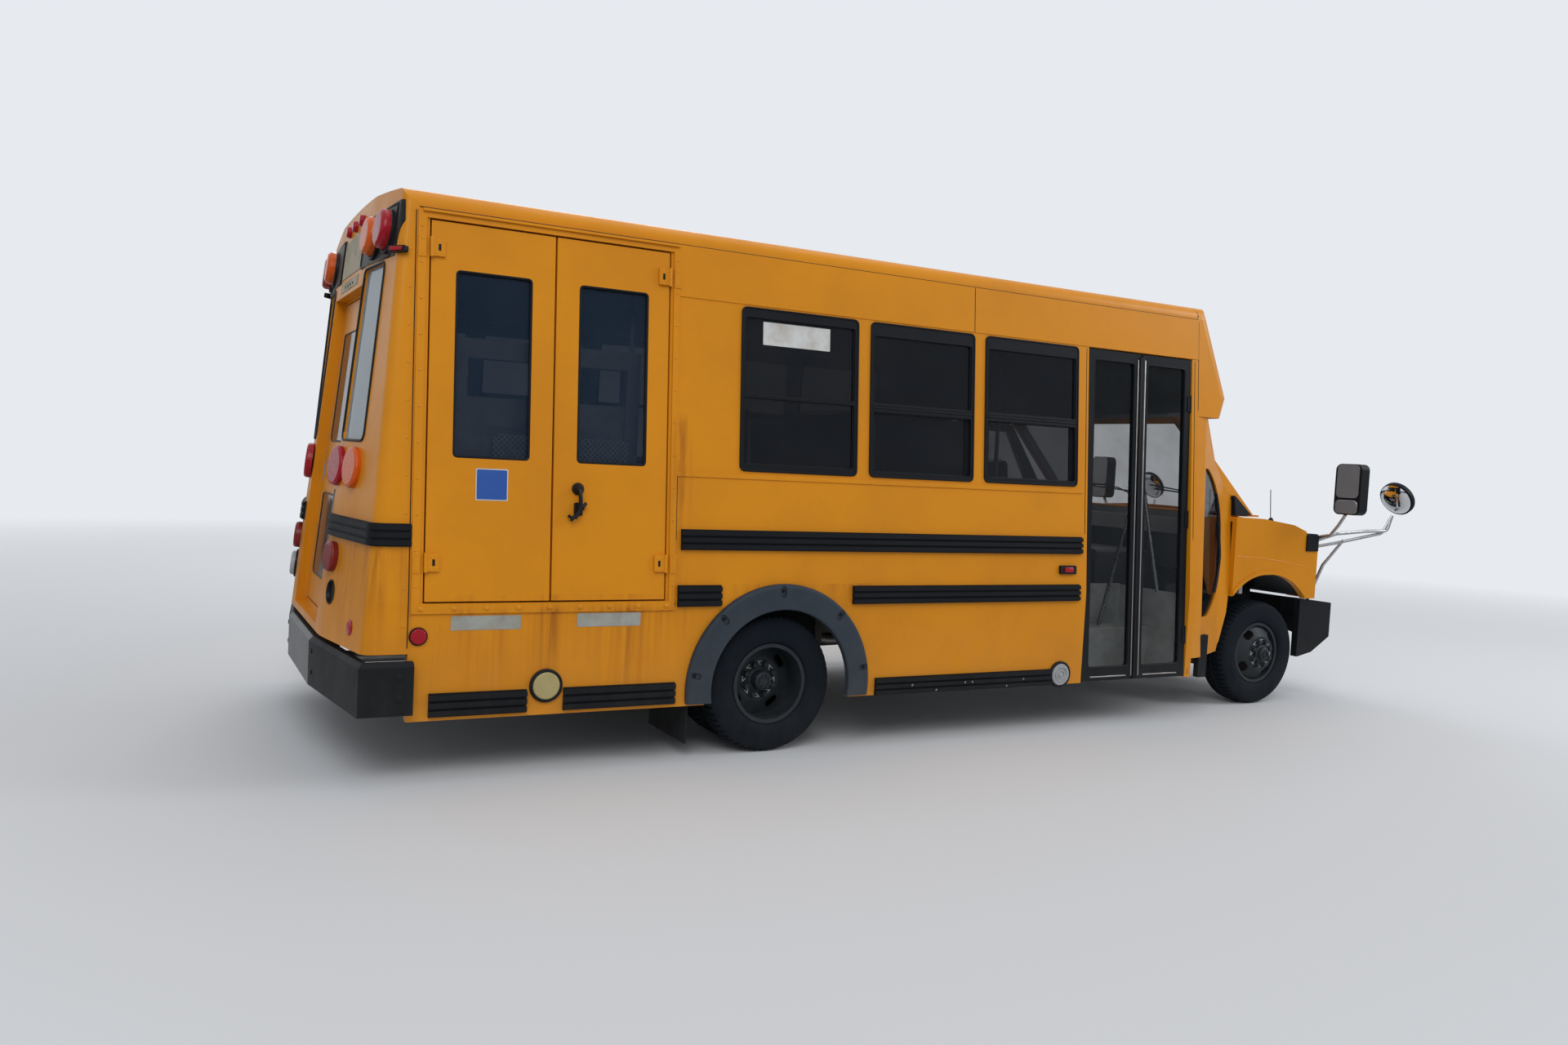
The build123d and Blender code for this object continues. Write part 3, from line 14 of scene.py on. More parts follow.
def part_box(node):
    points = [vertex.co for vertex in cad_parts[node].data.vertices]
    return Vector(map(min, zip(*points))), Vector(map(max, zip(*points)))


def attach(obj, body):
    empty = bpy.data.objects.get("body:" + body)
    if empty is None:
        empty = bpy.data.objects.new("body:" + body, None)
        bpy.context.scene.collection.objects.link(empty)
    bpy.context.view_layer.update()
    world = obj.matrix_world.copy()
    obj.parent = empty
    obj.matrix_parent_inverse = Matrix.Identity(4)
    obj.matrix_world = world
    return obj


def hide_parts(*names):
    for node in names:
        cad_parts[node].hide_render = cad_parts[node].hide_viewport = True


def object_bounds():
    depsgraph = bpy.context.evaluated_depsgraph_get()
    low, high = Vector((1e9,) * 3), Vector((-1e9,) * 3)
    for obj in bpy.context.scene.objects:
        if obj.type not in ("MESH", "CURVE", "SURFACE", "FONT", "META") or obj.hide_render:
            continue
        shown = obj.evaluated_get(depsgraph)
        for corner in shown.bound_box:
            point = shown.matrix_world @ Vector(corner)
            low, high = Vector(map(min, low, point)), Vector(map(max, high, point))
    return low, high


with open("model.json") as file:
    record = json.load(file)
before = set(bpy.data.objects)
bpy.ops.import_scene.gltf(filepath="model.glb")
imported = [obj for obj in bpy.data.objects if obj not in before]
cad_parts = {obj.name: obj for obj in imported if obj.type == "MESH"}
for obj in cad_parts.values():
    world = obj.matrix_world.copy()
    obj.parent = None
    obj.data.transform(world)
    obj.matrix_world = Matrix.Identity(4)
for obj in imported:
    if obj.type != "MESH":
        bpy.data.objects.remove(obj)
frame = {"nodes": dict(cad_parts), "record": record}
cad_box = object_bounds()
nodes = frame["nodes"]
RIGHT, LEFT = -1, 1
SIDES = {RIGHT: "right", LEFT: "left"}
REAR_AXLE = -1.492


def at(station):
    """X of a distance measured forward from the rear axle."""
    return REAR_AXLE + station


def link(thing):
    """Puts an object in the scene."""
    bpy.context.scene.collection.objects.link(thing)
    return thing


print("frame box", [round(c, 3) for corner in cad_box for c in corner], "nodes", len(nodes))

# %% [markdown]
# The photograph was taken at eye height a few steps off the right rear corner, with a wide lens held a little
# askew. A camera could be aimed by hand, but its place, lens and tilt come from a fit to the bus's own straight
# lines, so that the render lines up with the photograph.

# %% Camera
CAMERA_PLACE = Vector((-4.447, -6.637, 1.549))
AZIMUTH, DOWN, ROLL = radians(-28.668), radians(2.957), radians(2.984)

back = Vector((sin(AZIMUTH) * cos(DOWN), -cos(AZIMUTH) * cos(DOWN), sin(DOWN)))
level = (-back).cross(Vector((0, 0, 1))).normalized()
upright = level.cross(-back)
side_axis = level * cos(ROLL) + upright * sin(ROLL)
up_axis = upright * cos(ROLL) - level * sin(ROLL)
camera = link(bpy.data.objects.new("camera", bpy.data.cameras.new("camera")))
camera.data.sensor_width = 36.0
camera.data.lens = 27.03
turn = Matrix((side_axis, up_axis, back)).transposed()
camera.matrix_world = Matrix.Translation(CAMERA_PLACE) @ turn.to_4x4()
bpy.context.scene.camera = camera
print("camera", tuple(round(c, 3) for c in camera.location), "lens", camera.data.lens)

# %% [markdown]
# A studio keeps attention on the bus: one wide floor, an even sky and a few large soft lamps. A picture of a sky
# would also light it, but unevenly. The pale backdrop is a colour that only the camera, reflections and glass see,
# so it adds no light of its own.


# %% Helpers for shader nodes
def connect(tree, node, links):
    """Fills a node's inputs, each from a plain value or from the output of another node."""
    for name, value in links.items():
        if isinstance(value, bpy.types.NodeSocket):
            tree.links.new(value, node.inputs[name])
        else:
            node.inputs[name].default_value = value
    return node


def add_node(tree, kind, links=None, **settings):
    """One shader node with its settings and inputs."""
    made = tree.nodes.new("ShaderNode" + kind)
    for name, value in settings.items():
        setattr(made, name, value)
    return connect(tree, made, links or {})


def colour_mix(tree, share, first, second):
    """Mixes two colours by a share from 0 to 1."""
    return add_node(tree, "Mix", {0: share, 6: first, 7: second}, data_type="RGBA").outputs[2]


def maths(tree, operation, first, second=0.5, clamp=False):
    """One sum on two numbers."""
    return add_node(tree, "Math", {0: first, 1: second}, operation=operation, use_clamp=clamp).outputs[0]


def spread(tree, value, low, high, to_low=0.0, to_high=1.0):
    """Stretches the part of a value between low and high over a new range, and clips the rest."""
    return add_node(tree, "MapRange", {0: value, 1: low, 2: high, 3: to_low, 4: to_high}).outputs[0]


def new_look(name):
    """New finish, its node tree and its main shader."""
    look = bpy.data.materials.new(name)
    look.use_nodes = True
    return look, look.node_tree, look.node_tree.nodes["Principled BSDF"]


# %% Sky and lamps
BACKDROP = (0.80, 0.83, 0.87, 1)
SKY_LIGHT, SKY_STRENGTH = (0.93, 0.96, 1.0, 1), 0.46
world = bpy.data.worlds.new("studio")
bpy.context.scene.world = world
world.use_nodes = True
sky = world.node_tree
sky.nodes.clear()
path = add_node(sky, "LightPath")
seen = maths(sky, "MAXIMUM", path.outputs["Is Camera Ray"], path.outputs["Is Transmission Ray"])
seen = maths(sky, "MAXIMUM", seen, path.outputs["Is Glossy Ray"])
plain = add_node(sky, "Background", {"Color": SKY_LIGHT, "Strength": SKY_STRENGTH})
backdrop = add_node(sky, "Background", {"Color": BACKDROP, "Strength": 1.0})
both = add_node(sky, "MixShader", {0: seen, 1: plain.outputs[0], 2: backdrop.outputs[0]})
add_node(sky, "OutputWorld", {0: both.outputs[0]})

# Columns: name, place, aim, size in metres, watts
LAMPS = (
    ("key_lamp", (-6.0, -9.0, 8.5), (0.0, 0.0, 1.2), 7.0, 480),
    ("front_lamp", (9.0, -5.0, 6.5), (1.5, 0.0, 1.2), 5.0, 320),
    ("left_lamp", (1.0, 10.0, 7.5), (0.0, 0.0, 1.2), 7.0, 380),
    ("top_lamp", (0.0, 0.0, 11.0), (0.0, 0.0, 0.0), 9.0, 200),
)
for name, place, aim, size, watts in LAMPS:
    lamp = bpy.data.lights.new(name, "AREA")
    lamp.shape = "DISK"
    lamp.size = size
    lamp.energy = watts
    holder = link(bpy.data.objects.new(name, lamp))
    holder.location = place
    holder.rotation_euler = (Vector(aim) - Vector(place)).to_track_quat("-Z", "Y").to_euler()
bpy.context.scene.view_settings.view_transform = "Standard"
print("studio lamps", len(LAMPS))

# %% Floor
FLOOR_HALF = 60.0
HAZE_START, HAZE_END = 5.0, 17.0
floor_shape = bmesh.new()
bmesh.ops.create_grid(floor_shape, x_segments=1, y_segments=1, size=FLOOR_HALF)
floor = link(bpy.data.objects.new("floor", bpy.data.meshes.new("floor")))
floor_shape.to_mesh(floor.data)
floor_shape.free()
floor_look, tree, shader = new_look("pale_floor")
speck = add_node(tree, "TexNoise", {"Scale": 9.0, "Detail": 5.0}).outputs[0]
connect(tree, shader, {"Base Color": colour_mix(tree, speck, (0.60, 0.62, 0.64, 1), (0.68, 0.69, 0.71, 1)),
                       "Roughness": 0.75})
floor_place = add_node(tree, "TexCoord").outputs["Object"]
distance = add_node(tree, "VectorMath", {0: floor_place}, operation="LENGTH").outputs["Value"]
haze = add_node(tree, "Emission", {"Color": BACKDROP,
                                   "Strength": add_node(tree, "LightPath").outputs["Is Camera Ray"]})
fading = add_node(tree, "MixShader", {0: spread(tree, distance, HAZE_START, HAZE_END), 1: shader.outputs[0],
                                      2: haze.outputs[0]})
connect(tree, tree.nodes["Material Output"], {"Surface": fading.outputs[0]})
floor.data.materials.append(floor_look)
print("floor half size", FLOOR_HALF)

# %% [markdown]
# Paint on a working bus is never one flat colour. Pictures could be wrapped round it, but they blur up close and
# stretch over corners. So the effects that many finishes share are built once as node groups that read the place in
# the bus's frame: soft mottling, road dust that thins out with height, rust runs that hang below a seam, and a fine
# surface grain.


# %% Helpers for shared effects
def start_group(name, inputs, outputs):
    """Empty node group with named inputs and outputs, its input node and its output node."""
    group = bpy.data.node_groups.new(name, "ShaderNodeTree")
    for label, kind, value in inputs:
        group.interface.new_socket(label, in_out="INPUT", socket_type="NodeSocket" + kind).default_value = value
    for label, kind in outputs:
        group.interface.new_socket(label, in_out="OUTPUT", socket_type="NodeSocket" + kind)
    return group, group.nodes.new("NodeGroupInput").outputs, group.nodes.new("NodeGroupOutput")


def object_place(tree, scale=(1, 1, 1)):
    """The point's place in the bus's frame, in metres, stretched along each axis."""
    coordinate = add_node(tree, "TexCoord").outputs["Object"]
    return add_node(tree, "Mapping", {"Vector": coordinate, "Scale": scale}).outputs[0]


def noise(tree, scale=1.0, stretch=(1, 1, 1), **settings):
    """Cloudy number between 0 and 1 that changes over the bus."""
    return add_node(tree, "TexNoise", {"Vector": object_place(tree, stretch), "Scale": scale, **settings}).outputs[0]


def tint_group(name, tint, numbers, mask_of):
    """Effect that lays a tint over a colour through a mask made from its number inputs."""
    inputs = [("Color", "Color", (1, 1, 1, 1)), ("Tint", "Color", tint)]
    inputs += [(label, "Float", value) for label, value in numbers.items()]
    group, given, result = start_group(name, inputs, (("Color", "Color"), ("Mask", "Float")))
    mask = mask_of(group, given)
    connect(group, result, {"Color": colour_mix(group, mask, given["Color"], given["Tint"]), "Mask": mask})
    return group


# %% Shared effects
def cloudy(group, given):
    """Soft patches."""
    cloud = noise(group, given["Scale"], Detail=8.0, Roughness=0.62)
    return maths(group, "MULTIPLY", spread(group, cloud, 0.42, 0.70), given["Amount"])


def dusty(group, given):
    """Road dust: thickest at the ground, gone at a given height, broken up by splashes."""
    height = add_node(group, "SeparateXYZ", {0: object_place(group)}).outputs["Z"]
    fade = maths(group, "SUBTRACT", 1.0, maths(group, "DIVIDE", height, given["Top"]), clamp=True)
    splash = noise(group, 11.0, (1, 1, 0.45), Detail=9.0, Roughness=0.7)
    mask = maths(group, "MULTIPLY", maths(group, "POWER", fade, 1.4), spread(group, splash, 0.30, 0.66))
    return maths(group, "MULTIPLY", mask, given["Amount"], clamp=True)


def streaked(group, given):
    """Upright streaks between two stations, which start at a seam and fade below it."""
    parts = add_node(group, "SeparateXYZ", {0: object_place(group)}).outputs
    fall = maths(group, "DIVIDE", maths(group, "SUBTRACT", given["Seam"], parts["Z"]), given["Length"])
    below = spread(group, fall, -0.02, 0.03)
    fade = maths(group, "POWER", maths(group, "SUBTRACT", 1.0, fall, clamp=True), 0.8)
    after = spread(group, maths(group, "SUBTRACT", parts["X"], given["Start"]), 0.0, 0.05)
    before = spread(group, maths(group, "SUBTRACT", given["End"], parts["X"]), 0.0, 0.05)
    wide = spread(group, noise(group, stretch=(7, 7, 0.5), Detail=3.0), 0.34, 0.62)
    fine = spread(group, noise(group, stretch=(34, 34, 1.1), Detail=6.0), 0.36, 0.68)
    mask = maths(group, "MULTIPLY", maths(group, "MULTIPLY", below, fade), maths(group, "MULTIPLY", wide, fine))
    mask = maths(group, "MULTIPLY", mask, maths(group, "MULTIPLY", after, before))
    return maths(group, "MULTIPLY", mask, given["Amount"], clamp=True)


def grain_group():
    """Fine bumps, from the orange peel of sprayed paint to the pebble of moulded plastic."""
    inputs = (("Scale", "Float", 300.0), ("Strength", "Float", 0.1), ("Depth", "Float", 0.001))
    group, given, result = start_group("grain", inputs, (("Normal", "Vector"), ("Value", "Float")))
    pebble = noise(group, given["Scale"], Detail=4.0)
    bump = add_node(group, "Bump", {"Strength": given["Strength"], "Distance": given["Depth"], "Height": pebble})
    connect(group, result, {"Normal": bump.outputs[0], "Value": pebble})
    return group


DUST, RUST = (0.26, 0.22, 0.17, 1), (0.29, 0.080, 0.006, 1)
EFFECTS = {
    "mottle": tint_group("mottle", (0, 0, 0, 1), {"Scale": 3.0, "Amount": 0.3}, cloudy),
    "dust": tint_group("road_dust", DUST, {"Top": 0.9, "Amount": 0.5}, dusty),
    "runs": tint_group("rust_runs", RUST, {"Start": -1.0, "End": 1.0, "Seam": 1.0, "Length": 0.4, "Amount": 0.6},
                       streaked),
    "grain": grain_group(),
}
print("shared effects", sorted(EFFECTS))


# %% Helpers for finishes
def use_effect(tree, name, links):
    """Places a shared effect in a finish."""
    made = tree.nodes.new("ShaderNodeGroup")
    made.node_tree = EFFECTS[name]
    return connect(tree, made, links).outputs


def finish(name, colour, rough, patch=None, patch_amount=0.3, patch_scale=3.0, dust=0.0, dust_top=0.9,
           grain=(300.0, 0.08, 0.0006), runs=(), metal=0.0, **plain_sockets):
    """Finish with mottling, rust runs, road dust and grain. Plain sockets are set by name, such as Coat_Weight."""
    look, tree, shader = new_look(name)
    patch = patch or tuple(c * 0.6 for c in colour)
    step = use_effect(tree, "mottle", {"Color": (*colour, 1), "Tint": (*patch, 1), "Amount": patch_amount,
                                       "Scale": patch_scale})
    worn = step["Mask"]
    later = [("runs", dict(zip(("Start", "End", "Seam", "Length", "Amount"), row))) for row in runs]
    if dust:
        later.append(("dust", {"Top": dust_top, "Amount": dust}))
    for effect, values in later:
        step = use_effect(tree, effect, {"Color": step["Color"], **values})
        worn = maths(tree, "MAXIMUM", worn, step["Mask"])
    bumps = use_effect(tree, "grain", dict(zip(("Scale", "Strength", "Depth"), grain)))
    connect(tree, shader, {"Base Color": step["Color"], "Metallic": metal, "Normal": bumps["Normal"],
                           "Roughness": spread(tree, worn, 0.0, 1.0, rough, min(0.95, rough + 0.35)),
                           **{label.replace("_", " "): value for label, value in plain_sockets.items()}})
    look.diffuse_color = (*colour, 1)
    return look


# %% [markdown]
# The bus wears the usual yellow-orange enamel, dull and streaked with rust below the lift sill, the rear band and
# the wheel flare. Trim is black, the flares are a faded grey-black, and the running gear is black under dust. One
# function makes them all from plain values, so each row below reads like a paint card.

# %% Finishes
YELLOW = (0.69, 0.258, 0.007)
PLASTIC, PLASTIC_PATCH = (0.0065, 0.0080, 0.0105), (0.016, 0.018, 0.021)
PEBBLE = (900.0, 0.12, 0.0004)
# Columns: start x, end x, seam height, length of the runs, amount
RUST_RUNS = (
    (at(-1.90), at(-0.60), 0.800, 0.50, 1.0),
    (at(-0.64), at(-0.50), 1.75, 1.15, 0.85),
    (at(-0.62), at(-0.30), 0.905, 0.34, 0.8),
    (at(-2.30), at(-1.80), 1.08, 0.55, 0.9),
    (at(-1.86), at(-0.62), 0.86, 0.10, 0.45),
    (at(-0.30), at(0.60), 0.905, 0.10, 0.5),
)
LOOKS = {
    "body_paint": finish("bus_enamel", YELLOW, 0.34, (0.52, 0.185, 0.008), 0.45, 1.6, dust=0.20, dust_top=0.85,
                         grain=(420.0, 0.05, 0.0004), runs=RUST_RUNS, Coat_Weight=0.10, Coat_Roughness=0.18,
                         Specular_IOR_Level=0.16),
    "black_trim": finish("black_trim", PLASTIC, 0.48, PLASTIC_PATCH, dust=0.06, grain=PEBBLE,
                         Specular_IOR_Level=0.12),
    "rubber": finish("flap_rubber", (0.006, 0.0085, 0.012), 0.7, (0.02, 0.021, 0.023), dust=0.12,
                     Specular_IOR_Level=0.15),
    "grey_floor": finish("ribbed_floor", (0.30, 0.31, 0.31), 0.62, (0.16, 0.15, 0.14), patch_scale=5.0,
                         grain=(240.0, 0.2, 0.001)),
    "chassis_black": finish("chassis_black", (0.014, 0.014, 0.015), 0.6, (0.11, 0.055, 0.025), 0.5, dust=0.75,
                            dust_top=1.0),
    "cast_iron": finish("cast_iron", (0.06, 0.05, 0.045), 0.7, (0.14, 0.06, 0.025), 0.6, 9.0, dust=0.5, metal=0.4,
                        grain=(500.0, 0.4, 0.001)),
    "bare_steel": finish("bare_steel", (0.36, 0.35, 0.34), 0.42, (0.17, 0.09, 0.05), 0.35, 8.0, metal=0.9),
    "bright_steel": finish("polished_tube", (0.42, 0.42, 0.43), 0.24, (0.26, 0.24, 0.22), 0.35, 12.0, metal=1.0,
                           grain=(700.0, 0.03, 0.0003)),
    "red_paint": finish("stop_sign_red", (0.42, 0.012, 0.012), 0.4, (0.3, 0.02, 0.02)),
    "seat_vinyl": finish("seat_vinyl", (0.028, 0.035, 0.055), 0.5, (0.05, 0.055, 0.07), grain=(520.0, 0.35, 0.0008)),
    "grey_plastic": finish("dash_plastic", (0.07, 0.072, 0.078), 0.55, grain=(800.0, 0.25, 0.0005)),
    "tyre": finish("tyre_rubber", (0.0045, 0.0080, 0.0130), 0.72, (0.013, 0.017, 0.022), 0.5, 7.0, dust=0.05,
                   dust_top=0.8, grain=(350.0, 0.25, 0.0008), Specular_IOR_Level=0.10),
    "wheel_black": finish("wheel_black", (0.012, 0.018, 0.024), 0.5, (0.030, 0.036, 0.042), 0.40, 12.0, dust=0.10,
                          dust_top=0.85, Specular_IOR_Level=0.25),
    "white_plate": finish("blank_plate", (0.62, 0.63, 0.62), 0.5, (0.30, 0.22, 0.14), 0.5, 9.0),
    "old_plate": finish("old_blank_plate", (0.34, 0.35, 0.32), 0.55, (0.22, 0.17, 0.10), 0.6, 9.0),
    "blue_plate": finish("blue_plate", (0.010, 0.075, 0.34), 0.4, (0.05, 0.12, 0.34), 0.25, 9.0),
    "faded_board": finish("faded_board", (0.40, 0.35, 0.24), 0.55, (0.24, 0.19, 0.12), 0.5, 11.0),
    "faded_trim": finish("faded_flare", (0.027, 0.038, 0.052), 0.62, (0.055, 0.066, 0.080), 0.5, 4.0, dust=0.15,
                         grain=(650.0, 0.22, 0.0006), Specular_IOR_Level=0.2),
    "grey_trim": finish("grey_bumper_face", (0.15, 0.15, 0.15), 0.6, (0.07, 0.07, 0.075), 0.5, 6.0, dust=0.3),
    "lamp_black": finish("lamp_panel_black", (0.006, 0.006, 0.0065), 0.42, (0.02, 0.02, 0.022),
                         Specular_IOR_Level=0.2),
    "dull_bolt": finish("dull_bolt", (0.24, 0.235, 0.23), 0.45, (0.16, 0.08, 0.04), 0.5, 40.0, metal=0.8),
    "pale_pointer": finish("pale_nut_pointer", (0.46, 0.49, 0.46), 0.6, (0.16, 0.17, 0.15), patch_scale=30.0),
    # Whiter than the real parts: painted light that brightens the dim step well and the lift mesh seen through glass
    "white_painted_light": finish("white_step_painted_light", (0.55, 0.57, 0.56), 0.55, (0.25, 0.24, 0.21), 0.5, 6.0,
                         grain=(300.0, 0.2, 0.0008)),
    "inner_panel": finish("inner_panel", (0.30, 0.31, 0.31), 0.6, (0.20, 0.20, 0.19), patch_scale=4.0),
    "flat_mirror": finish("flat_mirror_glass", (0.24, 0.25, 0.27), 0.06, (0.16, 0.17, 0.18), patch_scale=6.0,
                          metal=0.3),
    "mirror_face": finish("mirror_glass", (0.62, 0.64, 0.66), 0.04, patch_amount=0.05, metal=1.0,
                          grain=(50.0, 0.0, 0.0001)),
}
print("finishes", len(LOOKS))

# %% [markdown]
# The rear bumper is black plastic with a bare grey middle on its rear face. The two could be separate pieces, but
# the real one is a single moulding, so the grey is laid on by place: within reach of the centre plane, and only on
# the rearmost face.

# %% Bumper finish
BARE_HALF = 0.446
BARE_FRONT, BARE_REAR = at(-2.192), at(-2.198)
look = finish("bumper_plastic", PLASTIC, 0.5, PLASTIC_PATCH, dust=0.10, grain=PEBBLE, Specular_IOR_Level=0.12)
tree = look.node_tree
base = tree.nodes["Principled BSDF"].inputs["Base Color"]
parts = add_node(tree, "SeparateXYZ", {0: object_place(tree)}).outputs
across = spread(tree, maths(tree, "ABSOLUTE", parts["Y"], 0.0), BARE_HALF, BARE_HALF + 0.003, 1.0, 0.0)
behind = spread(tree, parts["X"], BARE_REAR, BARE_FRONT, 1.0, 0.0)
bare = maths(tree, "MULTIPLY", across, behind)
tree.links.new(colour_mix(tree, bare, base.links[0].from_socket, (0.20, 0.205, 0.21, 1)), base)
LOOKS["bumper"] = look
print("bare bumper half width", BARE_HALF)

# %% [markdown]
# Safety glass here is a dark tinted sheet with dust on it. True refraction would cost time and show little, so a
# plain alpha lets some of the cabin show through: the side windows are nearly black and the doors are clearer. The
# rear corner panes are a pale blue-grey, nearly opaque: a painted reflection of the sky. Lamp lenses are moulded with
# small prisms, which a cell pattern gives as bumps.


# %% Glass and lamp finishes
def glass(name, colour, alpha, dust):
    """Tinted glass that is clearer where it is clean and duller where dust has dried on it."""
    look, tree, shader = new_look(name)
    step = use_effect(tree, "mottle", {"Color": (*colour, 1), "Tint": (*(c + 0.035 for c in colour), 1),
                                       "Amount": dust, "Scale": 2.4})
    connect(tree, shader, {"Base Color": step["Color"], "Roughness": spread(tree, step["Mask"], 0.0, 1.0, 0.03, 0.4),
                           "Alpha": spread(tree, step["Mask"], 0.0, 1.0, alpha, min(1.0, alpha + 0.35)),
                           "IOR": 1.52, "Specular IOR Level": 0.12, "Coat Weight": 0.08, "Coat Roughness": 0.03})
    return look


def lamp_lens(name, colour, alpha=1.0):
    """Moulded lamp lens with fine prism ribs and faded patches."""
    look, tree, shader = new_look(name)
    step = use_effect(tree, "mottle", {"Color": (*colour, 1), "Tint": (*(min(1, c * 1.25 + 0.01) for c in colour), 1),
                                       "Amount": 0.35, "Scale": 14.0})
    cells = add_node(tree, "TexVoronoi", {"Vector": object_place(tree), "Scale": 130.0})
    ribs = add_node(tree, "Bump", {"Strength": 0.45, "Distance": 0.002, "Height": cells.outputs["Distance"]})
    connect(tree, shader, {"Base Color": step["Color"], "Roughness": spread(tree, step["Mask"], 0.0, 1.0, 0.16, 0.4),
                           "Normal": ribs.outputs[0], "Alpha": alpha, "Specular IOR Level": 0.18,
                           "Coat Weight": 0.1})
    return look


LOOKS.update({
    "glass": glass("dark_side_glass", (0.003, 0.005, 0.009), 0.72, 0.15),
    "door_glass": glass("clear_door_glass", (0.006, 0.010, 0.014), 0.24, 0.20),
    "lift_glass": glass("blue_lift_glass", (0.006, 0.020, 0.044), 0.50, 0.20),
    # Rear corner panes: a pale blue-grey, nearly opaque, as a painted reflection of the sky
    "painted_sky_glass": glass("rear_glass", (0.30, 0.36, 0.40), 0.90, 0.4),
    "bronze_glass": glass("bronze_glass", (0.10, 0.085, 0.075), 0.88, 0.3),
    "clear_lamp": lamp_lens("clear_lens", (0.40, 0.42, 0.44), 0.85),
    "cream_lamp": lamp_lens("cream_lens", (0.40, 0.33, 0.15)),
    "red_lamp": lamp_lens("red_lens", (0.34, 0.006, 0.016)),
    "dark_red_lamp": lamp_lens("dark_red_lens", (0.20, 0.018, 0.014)),
    "amber_lamp": lamp_lens("amber_lens", (0.62, 0.095, 0.006)),
})
print("finishes with glass and lamps", len(LOOKS))

# %% [markdown]
# Each node of the frame has a slot in its record that says what it is made of, so most nodes are dressed by their
# slot's name. A few need a finish of their own, such as the clear panes of the doors or the faded flares.

# %% Finishes on the frame's own nodes
SLOT_OF = {part["node"]: part["material_slot"] for part in frame["record"]["subparts"]}
NODE_LOOKS = {
    "arch_flares": "faded_trim", "rear_bumper": "bumper", "warning_lamps": "lamp_black",
    "rear_door_glass": "bronze_glass", "windshield": "door_glass", "driver_door_glass": "door_glass",
    "entrance_leaf_rear_glass": "door_glass", "entrance_leaf_front_glass": "door_glass",
    "lift_door_rear_glass": "lift_glass", "lift_door_front_glass": "lift_glass",
}
for name, part in nodes.items():
    part.data.materials.clear()
    part.data.materials.append(LOOKS[NODE_LOOKS.get(name, SLOT_OF[name])])
print("dressed nodes", len(nodes))

# %% [markdown]
# Some nodes hold more than one finish: a lamp and its black panel, or a wall that is painted outside and lined
# inside. Cutting them up would change the frame, so faces are picked by where they lie and which way they look.

# %% Places on the bus that several steps share
# Large warning lamps: distances from the centre plane, and their heights on the two end caps
WARNING_Y = (0.65, 0.90)
WARNING_REAR_Z, WARNING_FRONT_Z = 2.52, 2.44
# Lamps on the skirt, as station and height: cream with age, and clear
CREAM_LAMP, CLEAR_LAMP = (-1.243, 0.423), (1.968, 0.345)
# Empty lamp hole low on the rear cap, as distance from the centre plane and height
LAMP_HOLE = (0.692, 0.815)


def rear_face(z):
    """X of the rear face, which leans forward as it rises."""
    return at(-2.190 + (z - 0.594) * 0.1)


# %% Finishes on some faces of a node
def near(first, second, place, reach):
    """Whether two coordinates of a point lie within reach of a place."""
    return (first - place[0]) ** 2 + (second - place[1]) ** 2 < reach ** 2


def warning_lens(point, y):
    """Whether a point belongs to one of the large lamps at a distance from the centre plane."""
    z = WARNING_REAR_Z if point.x < 0 else WARNING_FRONT_Z
    return near(abs(point.y), point.z, (y, z), 0.0965)


def skirt_lens(point, lamp):
    """Whether a point belongs to a round lamp on the skirt."""
    return near(point.x, point.z, (at(lamp[0]), lamp[1]), 0.08)


# Columns: node, finish, rule on a face's middle and its direction
FACE_LOOKS = (
    ("warning_lamps", "amber_lamp", lambda c, n: warning_lens(c, WARNING_Y[0]) or (c.x > 0 and c.z > 2.57)),
    ("warning_lamps", "red_lamp", lambda c, n: warning_lens(c, WARNING_Y[1]) or (c.x < 0 and c.z > 2.635
                                                                              and abs(c.y) < 0.3)),
    ("running_lamps", "amber_lamp", lambda c, n: c.z > 1.25 and abs(c.y) > 0.67),
    ("running_lamps", "dark_red_lamp", lambda c, n: 0.90 < c.z < 1.06 and c.x < at(-2.0)),
    ("running_lamps", "clear_lamp", lambda c, n: c.z < 0.90 and (skirt_lens(c, CLEAR_LAMP) or c.x < at(-2.0))),
    ("running_lamps", "cream_lamp", lambda c, n: skirt_lens(c, CREAM_LAMP)),
    ("cab_shell", "body_paint", lambda c, n: c.z > 1.30 and n.y * c.y > -0.3 * abs(c.y)),
    # The floor of the step well is painted white as painted light, which brightens the dim entrance
    ("floor_deck", "white_painted_light", lambda c, n: c.x > at(2.10) and c.y < -0.55 and c.z > 0.305 and n.z > -0.5),
    # The rear corner panes take the pale glass that carries a painted reflection of the sky
    ("window_glass", "painted_sky_glass", lambda c, n: c.x < at(-1.7) and abs(c.y) < 1.10),
    ("kerb_panel", "grey_plastic", lambda c, n: n.y > 0.6 or n.x < -0.8),
    ("rear_cap", "lamp_black", lambda c, n: c.y < 0 and near(abs(c.y), c.z, LAMP_HOLE, 0.066)),
    ("driver_door", "grey_plastic", lambda c, n: n.y < -0.6),
    ("right_wall", "inner_panel", lambda c, n: n.y * c.y < -0.5 and abs(c.y) < 1.18),
    ("left_wall", "inner_panel", lambda c, n: n.y * c.y < -0.5 and abs(c.y) < 1.18),
    ("rear_cap", "inner_panel", lambda c, n: c.x > rear_face(c.z) + 0.058 and (n.x > 0.5
                                                                            or n.y * c.y < -0.3 * abs(c.y))),
    ("front_cap", "inner_panel", lambda c, n: n.x < -0.5 or n.y * c.y < -0.5 or (n.z < -0.5 and c.z > 2.1)),
    ("roof_panel", "inner_panel", lambda c, n: n.z < -0.1),
)
